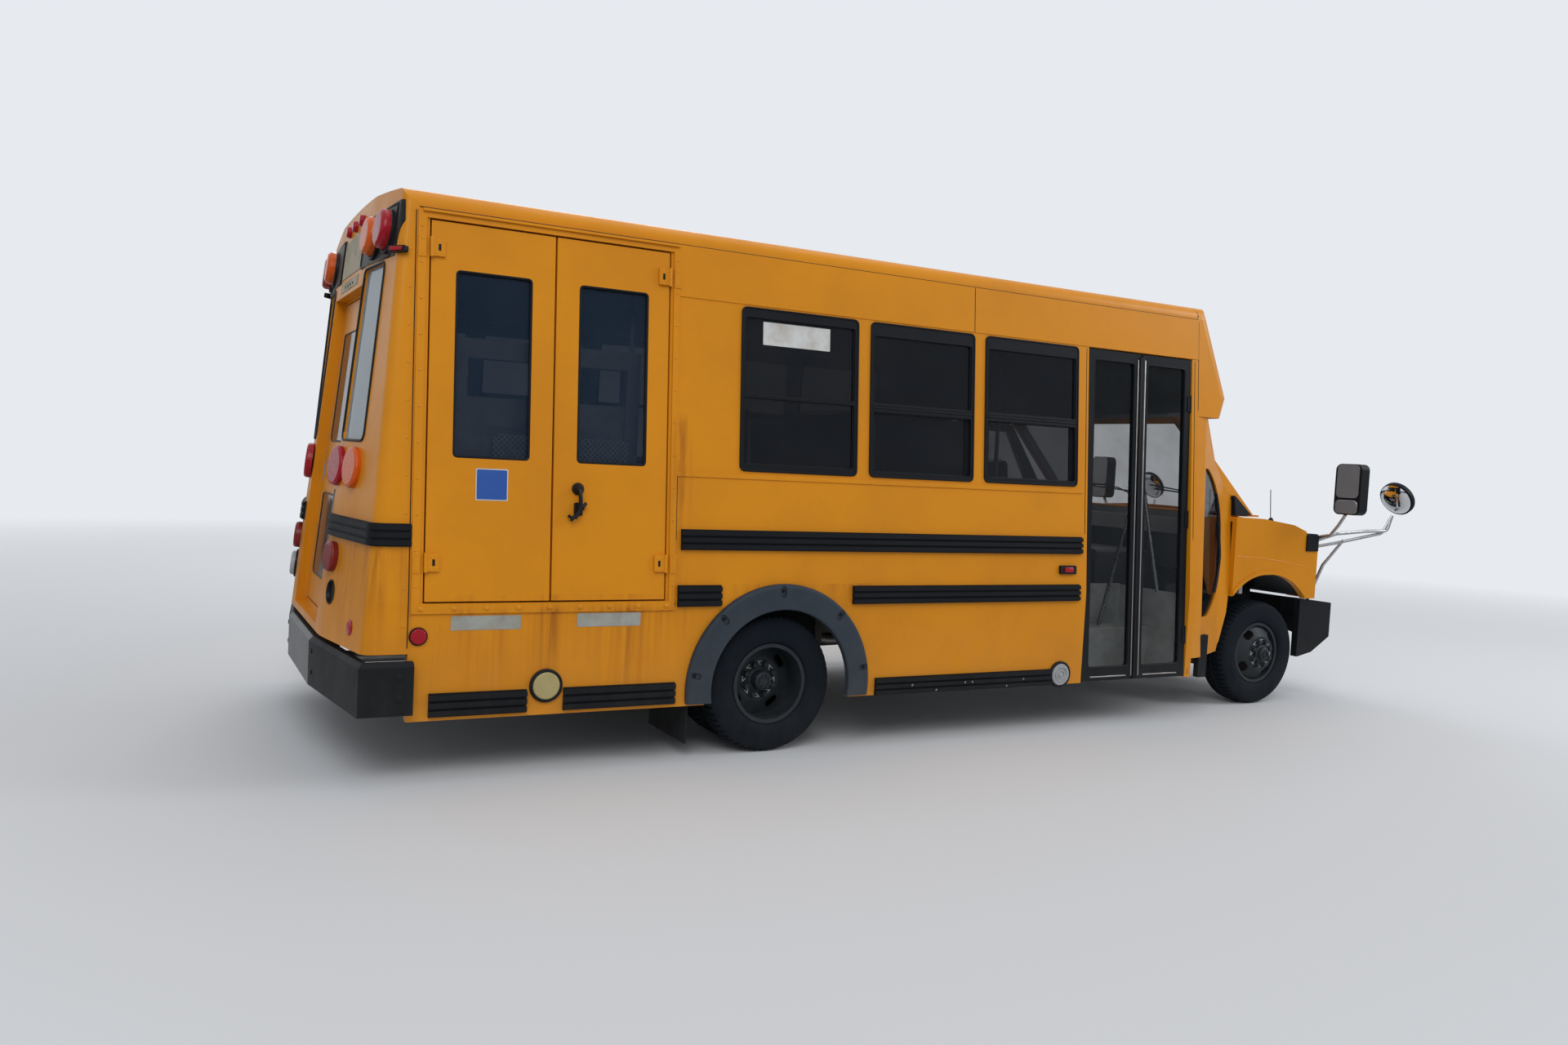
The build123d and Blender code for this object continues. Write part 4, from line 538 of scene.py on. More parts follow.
for node, look, chosen in FACE_LOOKS:
    mesh = nodes[node].data
    mesh.materials.append(LOOKS[look])
    picked = [face for face in mesh.polygons if chosen(face.center, face.normal)]
    for face in picked:
        face.material_index = len(mesh.materials) - 1
    print(node, look, "faces", len(picked))

# %% [markdown]
# Small parts are modelled once as a little mesh and then stamped wherever the bus has one. They could be placed by
# hand, but a line shot at the frame's own surface finds where each part sits and which way it faces, so nothing
# floats or sinks.


# %% Helpers that make small shapes
def make_mesh(shape):
    """Closes a finished bmesh into a mesh whose faces point outwards."""
    bmesh.ops.remove_doubles(shape, verts=shape.verts, dist=1e-6)
    bmesh.ops.recalc_face_normals(shape, faces=shape.faces)
    mesh = bpy.data.meshes.new("small_shape")
    shape.to_mesh(mesh)
    shape.free()
    return mesh


def round_edges(shape, edges, radius, segments):
    """Rounds some edges of a bmesh."""
    bmesh.ops.bevel(shape, geom=edges, offset=radius, offset_type="OFFSET", segments=segments, profile=0.5,
                    affect="EDGES", clamp_overlap=False, material=-1)


def plain_block(size):
    """Block as a bmesh, centred, standing on Z = 0."""
    shape = bmesh.new()
    bmesh.ops.create_cube(shape, size=1.0)
    bmesh.ops.scale(shape, vec=size, verts=shape.verts)
    bmesh.ops.translate(shape, vec=(0, 0, size[2] / 2), verts=shape.verts)
    return shape


def turned_shape(profile, steps=20, closed=False):
    """Shape turned about Z from (radius, height) points, which start and end on the axis or close on themselves."""
    shape = bmesh.new()
    dots = [shape.verts.new((radius, 0, height)) for radius, height in profile]
    lines = [shape.edges.new(pair) for pair in zip(dots, dots[1:] + dots[:1] if closed else dots[1:])]
    bmesh.ops.spin(shape, geom=dots + lines, cent=(0, 0, 0), axis=(0, 0, 1), angle=2 * pi, steps=steps,
                   use_merge=True)
    return make_mesh(shape)


def box_shape(size, round_by, segments=2):
    """Block with rounded edges, centred, standing on Z = 0."""
    shape = plain_block(size)
    round_edges(shape, shape.edges[:], round_by, segments)
    return make_mesh(shape)


def plate_shape(width, height, depth, corner, segments=5, bulge=0.0):
    """Thin plate with rounded corners and a softened face, standing on Z = 0."""
    shape = plain_block((width, height, depth))
    round_edges(shape, [e for e in shape.edges if abs(e.verts[0].co.z - e.verts[1].co.z) > depth / 2], corner,
                segments)
    face = [f for f in shape.faces if f.normal.z > 0.9]
    bmesh.ops.inset_region(shape, faces=face, thickness=min(depth, corner) * 0.5, depth=bulge)
    return make_mesh(shape)


def dome_shape(radius, height, steps=12):
    """Low round head, as on a rivet or a pan screw."""
    arc = [(radius * cos(angle), height * sin(angle)) for angle in (0.35, 0.75, 1.15)]
    return turned_shape([(0.0, -0.002), (radius, -0.002), *arc, (0.0, height)], steps)


def bolt_shape(radius, height):
    """Six-sided bolt head with a washer under it, standing on Z = 0."""
    shape = bmesh.new()
    stamp(shape, turned_shape([(0, -0.002), (radius * 1.45, -0.002), (radius * 1.45, height * 0.15),
                               (radius * 1.35, height * 0.24), (0, height * 0.24)], 18), ORIGIN)
    stamp(shape, turned_shape([(0, height * 0.2), (radius, height * 0.2), (radius, height * 0.85),
                               (radius * 0.86, height), (0, height)], 6), ORIGIN)
    return make_mesh(shape)


def hoop_shape(inner, outer, height, steps=32):
    """Round collar with softened edges, standing on Z = 0."""
    soft = min(outer - inner, height) * 0.3
    return turned_shape(((inner, -0.002), (outer, -0.002), (outer, height - soft), (outer - soft, height),
                         (inner + soft, height), (inner, height - soft)), steps, closed=True)


def rounded_path(points, radius, steps=5, closed=False):
    """Points of a path whose corners are rounded."""
    path = []
    count = len(points)
    for k, corner in enumerate(points):
        corner = Vector(corner)
        if not closed and k in (0, count - 1):
            path.append(corner)
            continue
        before = Vector(points[k - 1]) - corner
        after = Vector(points[(k + 1) % count]) - corner
        reach = min(radius, before.length * 0.48, after.length * 0.48)
        first = corner + before.normalized() * reach
        last = corner + after.normalized() * reach
        for step in range(steps + 1):
            t = step / steps
            path.append(first * (1 - t) ** 2 + corner * 2 * t * (1 - t) + last * t ** 2)
    return path


# %% Helpers that place small shapes
ORIGIN = Matrix.Identity(4)


def stamp(target, shape, place):
    """Adds a copy of a small mesh to a bmesh at a place."""
    start = len(target.verts)
    target.from_mesh(shape)
    target.verts.ensure_lookup_table()
    bmesh.ops.transform(target, matrix=place, verts=target.verts[start:])


def moved(x, y, z, seat=ORIGIN):
    """Place moved by a distance along its own axes."""
    return seat @ Matrix.Translation((x, y, z))


def tube(points, radius, place=ORIGIN, closed=False, rings=2):
    """Round tube through points, made as a bevelled curve and kept as a mesh, with the place it is stamped at."""
    curve = bpy.data.curves.new("tube", "CURVE")
    curve.dimensions = "3D"
    curve.bevel_depth = radius
    curve.bevel_resolution = rings
    curve.use_fill_caps = True
    line = curve.splines.new("POLY")
    line.points.add(len(points) - 1)
    for dot, point in zip(line.points, points):
        dot.co = (*point, 1.0)
    line.use_cyclic_u = closed
    holder = bpy.data.objects.new("tube", curve)
    mesh = bpy.data.meshes.new_from_object(holder)
    bpy.data.objects.remove(holder)
    bpy.data.curves.remove(curve)
    return mesh, place


def new_piece(name, shape, look, body="root", sharp=38):
    """Makes a bmesh a piece that rides on a body and takes its finish from a slot."""
    mesh = bpy.data.meshes.new(name)
    shape.to_mesh(mesh)
    shape.free()
    mesh.materials.append(LOOKS[look])
    mesh.polygons.foreach_set("use_smooth", [True] * len(mesh.polygons))
    mesh.set_sharp_from_angle(angle=radians(sharp))
    piece = link(bpy.data.objects.new(name, mesh))
    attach(piece, body)
    mesh.calc_loop_triangles()
    print(name, "triangles", len(mesh.loop_triangles))
    return piece


def scatter(name, look, places, body="root", sharp=38):
    """Piece made of small meshes, each stamped at its place."""
    shape = bmesh.new()
    for small, place in places:
        stamp(shape, small, place)
    return new_piece(name, shape, look, body, sharp)


SURFACES = {}


def surface(node):
    """Search tree over one of the frame's nodes."""
    if node not in SURFACES:
        shape = bmesh.new()
        shape.from_mesh(nodes[node].data)
        SURFACES[node] = BVHTree.FromBMesh(shape)
        shape.free()
    return SURFACES[node]


def seat_on(node, origin, aim, sink=0.0):
    """Where a line from origin along aim meets a node: Z points out of the surface and Y as near up as it can."""
    aim = Vector(aim).normalized()
    place, outward, _, _ = surface(node).ray_cast(Vector(origin), aim)
    if outward.dot(aim) > 0:
        outward.negate()
    across = Vector((0, 0, 1)).cross(outward)
    if across.length < 0.05:
        across = Vector((1, 0, 0))
    across.normalize()
    axes = Matrix((across, outward.cross(across), outward)).transposed().to_4x4()
    return Matrix.Translation(place - outward * sink) @ axes


def side_seat(node, station, z, side=RIGHT):
    """Seat on a side panel, seen square from outside."""
    return seat_on(node, (at(station), side * 2.0, z), (0, -side, 0))


def rear_seat(node, y, z, sink=0.0):
    """Seat on a rear panel, seen square from behind."""
    return seat_on(node, (-5.0, y, z), (1, 0, 0), sink)


def front_seat(node, y, z):
    """Seat on a front panel, seen square from ahead."""
    return seat_on(node, (5.0, y, z), (-1, 0, 0))


def spot(seat, out=0.0):
    """Point at a seat, raised off the surface."""
    return moved(0, 0, out, seat).to_translation()


# %% Helpers for the sides of the body
WALL_LEAN, DOOR_LEAN = tan(radians(4.3)), tan(radians(3.25))
HALF_WIDTH = 1.219
WALL_OF = {RIGHT: "right_wall", LEFT: "left_wall"}


def wall_y(z):
    """Half width of the body's side at a height."""
    return HALF_WIDTH - max(0.0, z - 0.83) * WALL_LEAN


def entrance_y(z):
    """Half width of the entrance doors' outside face at a height."""
    return HALF_WIDTH - (z - 0.28) * DOOR_LEAN


def on_side(station, z, side=RIGHT, out=0.0, face=wall_y):
    """Point on a side of the bus."""
    return Vector((at(station), side * (face(z) + out), z))


def side_loop(start, end, z0, z1, corner, side=RIGHT, out=0.0, face=wall_y):
    """Rounded rectangle that lies on a side of the bus."""
    corners = ((start, z0), (end, z0), (end, z1), (start, z1))
    return rounded_path([on_side(station, z, side, out, face) for station, z in corners], corner, closed=True)


print("wall half width at the window sill", round(wall_y(1.489), 4))

# %% [markdown]
# A truck tyre is a ring with one short stretch of tread repeated around it. One pitch is drawn as a profile, spun
# by a sixtieth of a turn in two steps, and the second step is sunk at the shoulders to cut the cross grooves.
# Then the pitch is spun round as copies, which keeps the whole tyre light.

# %% Tyres
TYRE_PITCHES = 60
SOLID_SHARE = 0.74
GROOVE, GROOVE_DEPTH = 0.357, 0.008
# Columns: distance from the tyre's middle, radius
TYRE_PROFILE = (
    (-0.0796, 0.2045), (-0.0796, 0.2144), (-0.0960, 0.2240), (-0.1040, 0.2400), (-0.1065, 0.2620), (-0.1080, 0.2900),
    (-0.1062, 0.2960), (-0.1062, 0.3100), (-0.1020, 0.3320), (-0.0940, 0.3500), (-0.0840, 0.3580), (-0.0580, 0.3655),
    (-0.0575, GROOVE), (-0.0480, GROOVE), (-0.0475, 0.3660), (-0.0215, 0.3660), (-0.0210, GROOVE), (-0.0125, GROOVE),
    (-0.0120, 0.3660),
)


def tyre_shape():
    """One tyre about the Y axis, centred."""
    shape = bmesh.new()
    profile = TYRE_PROFILE + tuple((-y, r) for y, r in reversed(TYRE_PROFILE))
    dots = [shape.verts.new((0, y, r)) for y, r in profile]
    lines = [shape.edges.new(pair) for pair in zip(dots, dots[1:] + dots[:1])]
    pitch = 2 * pi / TYRE_PITCHES
    about = {"cent": (0, 0, 0), "axis": (0, 1, 0)}
    first = bmesh.ops.spin(shape, geom=dots + lines, angle=pitch * SOLID_SHARE, steps=1, **about)
    bmesh.ops.spin(shape, geom=first["geom_last"], angle=pitch * (1 - SOLID_SHARE), steps=1, **about)
    middle = pitch * (1 + SOLID_SHARE) / 2
    cross = []
    for face in shape.faces:
        place = face.calc_center_median()
        arm = Vector((place.x, 0, place.z))
        in_groove = abs(Vector((0, 0, 1)).angle(arm) - middle) < pitch * 0.06
        on_rib = arm.length > GROOVE + 0.002 or (arm.length > 0.352 and abs(place.y) > 0.058)
        if in_groove and on_rib and abs(place.y) > 0.024:
            cross.append(face)
    sunk = bmesh.ops.extrude_face_region(shape, geom=cross)
    for dot in sunk["geom"]:
        if isinstance(dot, bmesh.types.BMVert):
            reach = Vector((dot.co.x, 0, dot.co.z)).length
            shrink = (reach - GROOVE_DEPTH) / reach
            dot.co.x *= shrink
            dot.co.z *= shrink
    bmesh.ops.delete(shape, geom=cross, context="FACES_ONLY")
    bmesh.ops.spin(shape, geom=shape.verts[:] + shape.edges[:] + shape.faces[:], angle=2 * pi, steps=TYRE_PITCHES,
                   use_duplicate=True, **about)
    bmesh.ops.remove_doubles(shape, verts=shape.verts, dist=2e-5)
    return make_mesh(shape)


AXLE_Z = 0.366
FRONT_AXLE = 4.039
FRONT_Y, OUTER_Y, INNER_Y = 0.863, 1.079, 0.787
tyre_mesh = tyre_shape()
for side, name in SIDES.items():
    for node, body, station, places in ((f"front_tyre_{name}", f"wheel_front_{name}", FRONT_AXLE, (FRONT_Y,)),
                                        (f"rear_tyres_{name}", f"wheels_rear_{name}", 0.0, (OUTER_Y, INNER_Y))):
        tyre = scatter(f"treaded_{node}", "tyre", [(tyre_mesh, moved(at(station), side * y, AXLE_Z))
                                                           for y in places], body, sharp=32)
        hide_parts(node)

# %% [markdown]
# The body panels of such a bus are thin sheet, riveted to a frame and lapped over each other. The rivets and screws
# are what an eye reads as sheet metal, so they follow the real rows: both posts of the lift doorway, the seam of the
# rear cap, the bolted sill and the brow above the windows. Bumps in a finish would be lighter, but they would not
# catch the light along an edge.

# %% Rivets, screws and sill bolts
rivet = dome_shape(0.0075, 0.0034, 10)
small_screw = dome_shape(0.0045, 0.0020, 8)
sill_bolt = dome_shape(0.0125, 0.0065, 14)
# Columns: head, panel, side, first station, step along, first height, step up, count
HEAD_ROWS = (
    (rivet, "right_wall", RIGHT, -1.866, 0, 0.90, 0.163, 11),
    (rivet, "right_wall", RIGHT, -0.613, 0, 0.90, 0.163, 11),
    (rivet, "rear_cap", RIGHT, -1.915, 0, 0.72, 0.17, 11),
    (rivet, "rear_cap", LEFT, -1.915, 0, 0.72, 0.17, 11),
    (sill_bolt, "right_wall", RIGHT, -1.842, 0.150, 0.799, 0, 9),
    (small_screw, "right_wall", RIGHT, -0.52, 0.26, 2.385, 0, 13),
    (small_screw, "right_wall", RIGHT, -0.43, 0.26, 2.585, 0, 13),
    (small_screw, "right_wall", RIGHT, -0.52, 0.397, 1.461, 0, 6),
    (small_screw, "left_wall", LEFT, -1.80, 0.26, 2.385, 0, 18),
    (small_screw, "left_wall", LEFT, -1.71, 0.26, 2.585, 0, 18),
    (small_screw, "left_wall", LEFT, -1.80, 0.397, 1.461, 0, 9),
)
scatter("panel_rivets", "body_paint",
        [(head, side_seat(panel, station + along * k, z + up * k, side))
         for head, panel, side, station, along, z, up, count in HEAD_ROWS for k in range(count)])

# %% [markdown]
# Where two sheets meet, the joint is a thin dark line of sealer. It could be painted on, but a thin tube, mostly
# sunk into the panels, follows their curves by itself and has a real shadow.

# %% Panel seams
SEAM = 0.0035
WAIST_TO_BROW = ((1.262, 2.357), (1.262, 2.611))
REAR_JOINT = ((-1.893, 0.62), (-1.893, 0.83), (-1.893, 1.6), (-1.893, 2.60))
FRONT_JOINT = ((3.096, 2.02), (3.096, 2.60))
ROOF_EDGE = ((-1.880, 2.615), (0.60, 2.615), (3.086, 2.615))
# Columns: node, side, stations and heights along the seam
SEAMS = (
    ("right_wall", RIGHT, WAIST_TO_BROW), ("left_wall", LEFT, WAIST_TO_BROW),
    ("right_wall", RIGHT, ROOF_EDGE), ("left_wall", LEFT, ROOF_EDGE),
    ("rear_cap", RIGHT, REAR_JOINT), ("rear_cap", LEFT, REAR_JOINT),
    ("front_cap", RIGHT, FRONT_JOINT), ("front_cap", LEFT, FRONT_JOINT),
    ("right_wall", RIGHT, ((2.127, 1.20), (2.127, 2.34))),
    ("right_wall", RIGHT, ((3.062, 0.30), (3.062, 1.20), (3.062, 2.34))),
    ("right_wall", RIGHT, ((-0.592, 0.80), (-0.592, 1.445))),
)
seams = [tube([spot(side_seat(node, station, z, side), -SEAM * 0.55) for station, z in points], SEAM, rings=1)
         for node, side, points in SEAMS]
# One more runs over the roof, where its sheet meets the moulded front cap
CAP_JOINT = 3.087
roof_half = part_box("roof_panel")[1][1]
half_run = [spot(side_seat("roof_panel", CAP_JOINT, z, LEFT)) for z in (2.625, 2.640)]
for share in (0.985, 0.96, 0.92, 0.86, 0.76, 0.62, 0.46, 0.30, 0.15, 0.0):
    p = spot(seat_on("roof_panel", (at(CAP_JOINT), roof_half * share, 4.0), (0, 0, -1)))
    p.z = min(p.z - 0.0016, cad_box[1][2] - 0.0031)
    half_run.append(p)
mirrored = [Vector((p.x, -p.y, p.z)) for p in reversed(half_run[:-1])]
seams.append(tube(half_run + mirrored, 0.003, rings=1))
scatter("panel_seams", "lamp_black", seams)

# %% [markdown]
# Every pane is held by a black rubber bead. The beads are round tubes laid along the edge of each opening, half
# sunk, so that the light catches their rounded top. A flat black band would look printed on.

# %% Window beads
WINDOW_LENGTH = 0.716
WAY_OUT_START = -0.245
WINDOW_STARTS = {RIGHT: (WAY_OUT_START, 0.549, 1.343), LEFT: (-1.833, -1.039, WAY_OUT_START, 0.549, 1.343)}
latch = box_shape((0.040, 0.012, 0.016), 0.002, 1)
beads = []
for side, starts in WINDOW_STARTS.items():
    for start in starts:
        end = start + WINDOW_LENGTH
        beads.append(tube(side_loop(start + 0.004, end - 0.004, 1.493, 2.339, 0.03, side, 0.004), 0.0055,
                          closed=True))
        way_out = start == WAY_OUT_START
        low, high = (1.874, 1.890) if way_out else (1.848, 1.896)
        header, sill, jamb, step = (0.052, 0.038, 0.024, 0.0) if way_out else (0.074, 0.030, 0.022, 0.022)
        for z0, z1, edge, depth in ((1.489 + sill, low, jamb + step, -0.010 - step * 0.5),
                                    (high, 2.343 - header, jamb, -0.010)):
            beads.append(tube(side_loop(start + edge, end - edge, z0, z1, 0.014, side, depth), 0.005, closed=True,
                              rings=1))
        if not way_out:
            for z, out in ((1.856, 0.002), (1.872, 0.004), (1.888, 0.002)):
                beads.append(tube([on_side(x, z, side, out) for x in (start + 0.012, end - 0.012)], 0.005, rings=1))
            for x in (start + 0.10, end - 0.10):
                beads.append((latch, moved(*on_side(x, 1.852, side, -0.008))))
scatter("window_beads", "black_trim", beads)

# %% Beads and strips of the doors
for body, start, end in (("lift_door_rear", -1.710, -1.352), ("lift_door_front", -1.119, -0.763)):
    loop = side_loop(start + 0.003, end - 0.003, 1.493, 2.345, 0.02, RIGHT, -0.006)
    scatter(f"{body}_bead", "black_trim", [tube(loop, 0.0075, closed=True)], body)
strip = box_shape((0.009, 2.000, 0.005), 0.002)
foot_strip = box_shape((0.30, 0.008, 0.003), 0.0015, 1)
seal = box_shape((0.020, 2.030, 0.012), 0.004)
# Columns: body, start and end of the pane, station of the upright strip, direction from the strip to the seal
ENTRANCE_PANES = (
    ("entrance_leaf_rear", 2.201, 2.538, 2.562, 1),
    ("entrance_leaf_front", 2.646, 2.983, 2.622, -1),
)
for body, start, end, strip_at, outward in ENTRANCE_PANES:
    loop = side_loop(start, end, 0.373, 2.284, 0.025, RIGHT, -0.006, entrance_y)
    scatter(f"{body}_bead", "black_trim",
            [tube(loop, 0.0075, closed=True), (seal, side_seat(body, strip_at + outward * 0.020, 1.31))], body)
    scatter(f"{body}_strip", "bare_steel",
            [(strip, side_seat(body, strip_at, 1.31)), (foot_strip, side_seat(body, (start + end) / 2, 0.315))], body)

# %% [markdown]
# The lift doors carry the things a hand meets: two leaf hinges on each outer edge, a bent black lever that turns the
# lock rods, a blank blue square with a white border, and the blank white strips on the skirt below the sill. Each is
# a plate, a dome or a tube from the helpers, set on its own door so that it swings with it.

# %% Lift door fittings
hinge_plate = plate_shape(0.034, 0.098, 0.004, 0.003, 2)
hinge_screw = dome_shape(0.0055, 0.0025, 10)
# A thin black plate beside each door hinge is painted shade, standing in for the dark hole of a recess
hinge_recess_shade = plate_shape(0.012, 0.030, 0.0015, 0.002, 2)
HINGE_HEIGHTS = (1.010, 2.440)
fixed_places = []
# Columns: body, hinge station, direction towards the leaf
for body, station, inward in (("lift_door_rear", -1.824, 1), ("lift_door_front", -0.653, -1)):
    screws, recess_shade_plates = [], []
    plate_at = station - inward * 0.042
    for z in HINGE_HEIGHTS:
        fixed_places.append((hinge_plate, side_seat("right_wall", plate_at, z)))
        for offset in (-0.034, 0.034):
            fixed_places.append((hinge_screw, moved(0, 0, 0.004, side_seat("right_wall", plate_at, z + offset))))
        for along in (0.022, 0.048):
            for offset in (-0.026, 0.026):
                screws.append((hinge_screw, side_seat(body, station + inward * along, z + offset)))
        # Painted shade: the black plate stands in for the shadowed recess beside the hinge
        recess_shade_plates.append((hinge_recess_shade, side_seat(body, station + inward * 0.035, z)))
    scatter(f"{body}_screws", "body_paint", screws, body)
    scatter(f"{body}_slots", "lamp_black", recess_shade_plates, body)
scatter("hinge_leaves", "body_paint", fixed_places)

lever = side_seat("lift_door_front", -1.112, 1.318)
LEVER_RUN = ((0.0, 0.048, 0.012), (0.0, 0.046, 0.030), (0.004, 0.010, 0.036), (0.006, -0.040, 0.034),
             (-0.006, -0.078, 0.030), (-0.040, -0.098, 0.026))
# Columns: points along the horn, radius
HORNS = (
    (((-0.010, -0.090, 0.020), (-0.036, -0.092, 0.024), (-0.052, -0.082, 0.024)), 0.0085),
    (((-0.014, -0.088, 0.020), (-0.032, -0.098, 0.022), (-0.037, -0.108, 0.022)), 0.0075),
    (((0.004, -0.050, 0.022), (0.024, -0.034, 0.024), (0.036, -0.020, 0.024)), 0.0085),
)
boss = turned_shape([(0, 0), (0.030, 0), (0.030, 0.008), (0.022, 0.016), (0.014, 0.036), (0, 0.038)])
scatter("lift_door_lever", "lamp_black",
        [(boss, moved(0.0, 0.048, 0, lever)), tube(rounded_path(LEVER_RUN, 0.02), 0.0105, lever),
         (plate_shape(0.040, 0.064, 0.014, 0.008, 3), moved(0.002, -0.050, 0, lever)),
         *(tube(points, radius, lever) for points, radius in HORNS),
         (box_shape((0.034, 0.026, 0.010), 0.004), moved(0.014, -0.042, 0.010, lever))], "lift_door_front")

# %% Blank signs and plates
sign = side_seat("lift_door_rear", -1.5275, 1.371)
scatter("sign_border", "white_plate", [(plate_shape(0.151, 0.148, 0.0016, 0.004, 3), sign)],
        "lift_door_rear")
scatter("blue_sign", "blue_plate",
        [(plate_shape(0.141, 0.138, 0.0012, 0.004, 3), moved(0, 0, 0.0016, sign))], "lift_door_rear")
blank = plate_shape(0.326, 0.066, 0.0016, 0.003, 2)
scatter("blank_plates", "old_plate",
        [(blank, side_seat("right_wall", station, z)) for station, z in ((-1.5385, 0.731), (-0.9375, 0.735))])
scatter("window_sign", "white_plate",
        [(plate_shape(0.408, 0.121, 0.0012, 0.003, 2), side_seat("window_glass", 0.092, 2.2155))])

# %% [markdown]
# Round lamps sit in rubber rings. The two low ones on the skirt are as big as a saucer, one cream with age and one
# clear, and a black box with a red window marks the middle of the bus at dusk. The lamps themselves are in the
# frame, so only their rings, boxes and windows are added.

# %% Lamp rings and markers
skirt_ring = hoop_shape(0.064, 0.081, 0.015)
small_ring = hoop_shape(0.034, 0.042, 0.010, 24)
low_ring = hoop_shape(0.072, 0.081, 0.010)
top_ring = hoop_shape(0.090, 0.103, 0.022, 36)
TOP_RING_SINK = 0.066
MARKER_DEPTH, CORNER_DEPTH = 0.018, 0.022
marker_box = plate_shape(0.126, 0.053, MARKER_DEPTH, 0.010, 4)
marker_window = plate_shape(0.066, 0.030, 0.006, 0.006, 3, 0.002)
corner_box = plate_shape(0.105, 0.030, CORNER_DEPTH, 0.008, 3)
corner_window = plate_shape(0.070, 0.018, 0.005, 0.004, 2, 0.001)
rings, windows = [], []
for side in SIDES:
    wall = WALL_OF[side]
    for station, z in (CREAM_LAMP, CLEAR_LAMP):
        rings.append((skirt_ring, side_seat(wall, station, z, side)))
    rings.append((small_ring, side_seat(wall, -1.846, 0.674, side)))
    marker, corner = side_seat(wall, 1.986, 0.9825, side), side_seat("rear_cap", -1.961, 2.411, side)
    rings += [(marker_box, marker), (corner_box, corner)]
    windows += [(marker_window, moved(0, 0, MARKER_DEPTH, marker)), (corner_window, moved(0, 0, CORNER_DEPTH, corner))]
    # The front lamps face along the normal of the wrapped brow
    aim = Vector((1.0, side * 0.197, 0.33)).normalized()
    for y in WARNING_Y:
        middle = Vector((at(3.382) - max(0.0, y - 0.495) * 0.197, side * y, WARNING_FRONT_Z))
        rings.append((top_ring, rear_seat("warning_lamps", side * y, WARNING_REAR_Z, TOP_RING_SINK)))
        rings.append((top_ring, seat_on("warning_lamps", middle + aim * 0.5, -aim, TOP_RING_SINK)))
rings.append((low_ring, rear_seat("rear_cap", *LAMP_HOLE)))
scatter("lamp_rings", "lamp_black", rings)
reflector = turned_shape([(0, -0.001), (0.036, -0.001), (0.036, 0.003), (0.033, 0.005), (0, 0.006)], 24)
windows += [(reflector, rear_seat("rear_cap", side * 1.020, 0.690)) for side in SIDES]
scatter("marker_windows", "red_lamp", windows)

# %% [markdown]
# Truck wheels here carry eight nuts, each with a plastic pointer that shows at a glance whether a nut has turned.
# All of them point the same way round. One nut and one pointer are made and then laid out by angle, which keeps the
# circle true.

# %% Wheel nuts and pointers
NUT_COUNT = 8
POINTER_RADIUS, POINTER_TIP, POINTER_THICKNESS = 0.0225, 0.049, 0.004
nut = bolt_shape(0.0165, 0.026)
cap_screw = bolt_shape(0.0075, 0.009)


def pointer_shape():
    """Flat ring with a pointed tip along X, made from an outline."""
    shape = bmesh.new()
    rim = [(POINTER_RADIUS * cos(a), POINTER_RADIUS * sin(a)) for a in (radians(42 + 23 * k) for k in range(13))]
    outer = [shape.verts.new((x, y, 0)) for x, y in rim + [(POINTER_TIP, 0.0)]]
    inner = [shape.verts.new((x * 0.82, y * 0.82, 0)) for x, y in rim + [(POINTER_TIP - 0.001, 0.0)]]
    flat = [shape.faces.new((outer[k - 1], outer[k], inner[k], inner[k - 1])) for k in range(len(outer))]
    lifted = bmesh.ops.extrude_face_region(shape, geom=flat)
    bmesh.ops.translate(shape, vec=(0, 0, POINTER_THICKNESS),
                        verts=[v for v in lifted["geom"] if isinstance(v, bmesh.types.BMVert)])
    return make_mesh(shape)


pointer = pointer_shape()
for side, name in SIDES.items():
    # Columns: body, rim node, axle station, radius of the nut circle, radius of the circle of the hub's own screws
    for body, rim, axle, circle, inner in ((f"wheels_rear_{name}", f"rear_rims_{name}", 0.0, 0.0860, 0.030),
                                           (f"wheel_front_{name}", f"front_rim_{name}", FRONT_AXLE, 0.0870, 0.022)):
        nuts, pointers = [], []
        for k in range(NUT_COUNT):
            angle = 2 * pi * (k + 0.5) / NUT_COUNT
            seat, hub_seat = (side_seat(rim, axle + reach * cos(angle), AXLE_Z + reach * sin(angle), side)
                              for reach in (circle, inner))
            pointers.append((pointer, seat @ Matrix.Rotation(pi / 2 - side * angle, 4, "Z")))
            nuts += [(nut, moved(0, 0, 0.001, seat)), (cap_screw, hub_seat)]
        scatter(f"nuts_{rim}", "wheel_black", nuts, body)
        scatter(f"pointers_{rim}", "pale_pointer", pointers, body)

# %% [markdown]
# The flare over the twin wheels is held by bolts sunk in pockets, and the rub rail behind it by low round heads.
# Both rows are placed by angle or station, so that they keep to the real spacing.

# %% Flare and rail bolts
FLARE_ANGLES = (10, 48, 92, 134, 171)
FLARE_RADIUS, FLARE_MIDDLE, FLARE_Z = 0.512, 0.028, 0.361
RAIL_HEADS = ((0.870, 0.332), (1.240, 0.332), (1.292, 0.332), (1.671, 0.332), (1.038, 0.297), (1.547, 0.297))
pocket_screw = bolt_shape(0.0075, 0.006)
rail_screw = dome_shape(0.0065, 0.003)
scatter("flare_bolts", "black_trim",
        [(pocket_screw, side_seat("arch_flares", FLARE_MIDDLE + FLARE_RADIUS * cos(radians(angle)),
                                  FLARE_Z + FLARE_RADIUS * sin(radians(angle)), side))
         for side in SIDES for angle in FLARE_ANGLES])
scatter("rail_bolts", "dull_bolt",
        [(rail_screw, side_seat("rub_rails", station, z, side)) for side in SIDES for station, z in RAIL_HEADS])

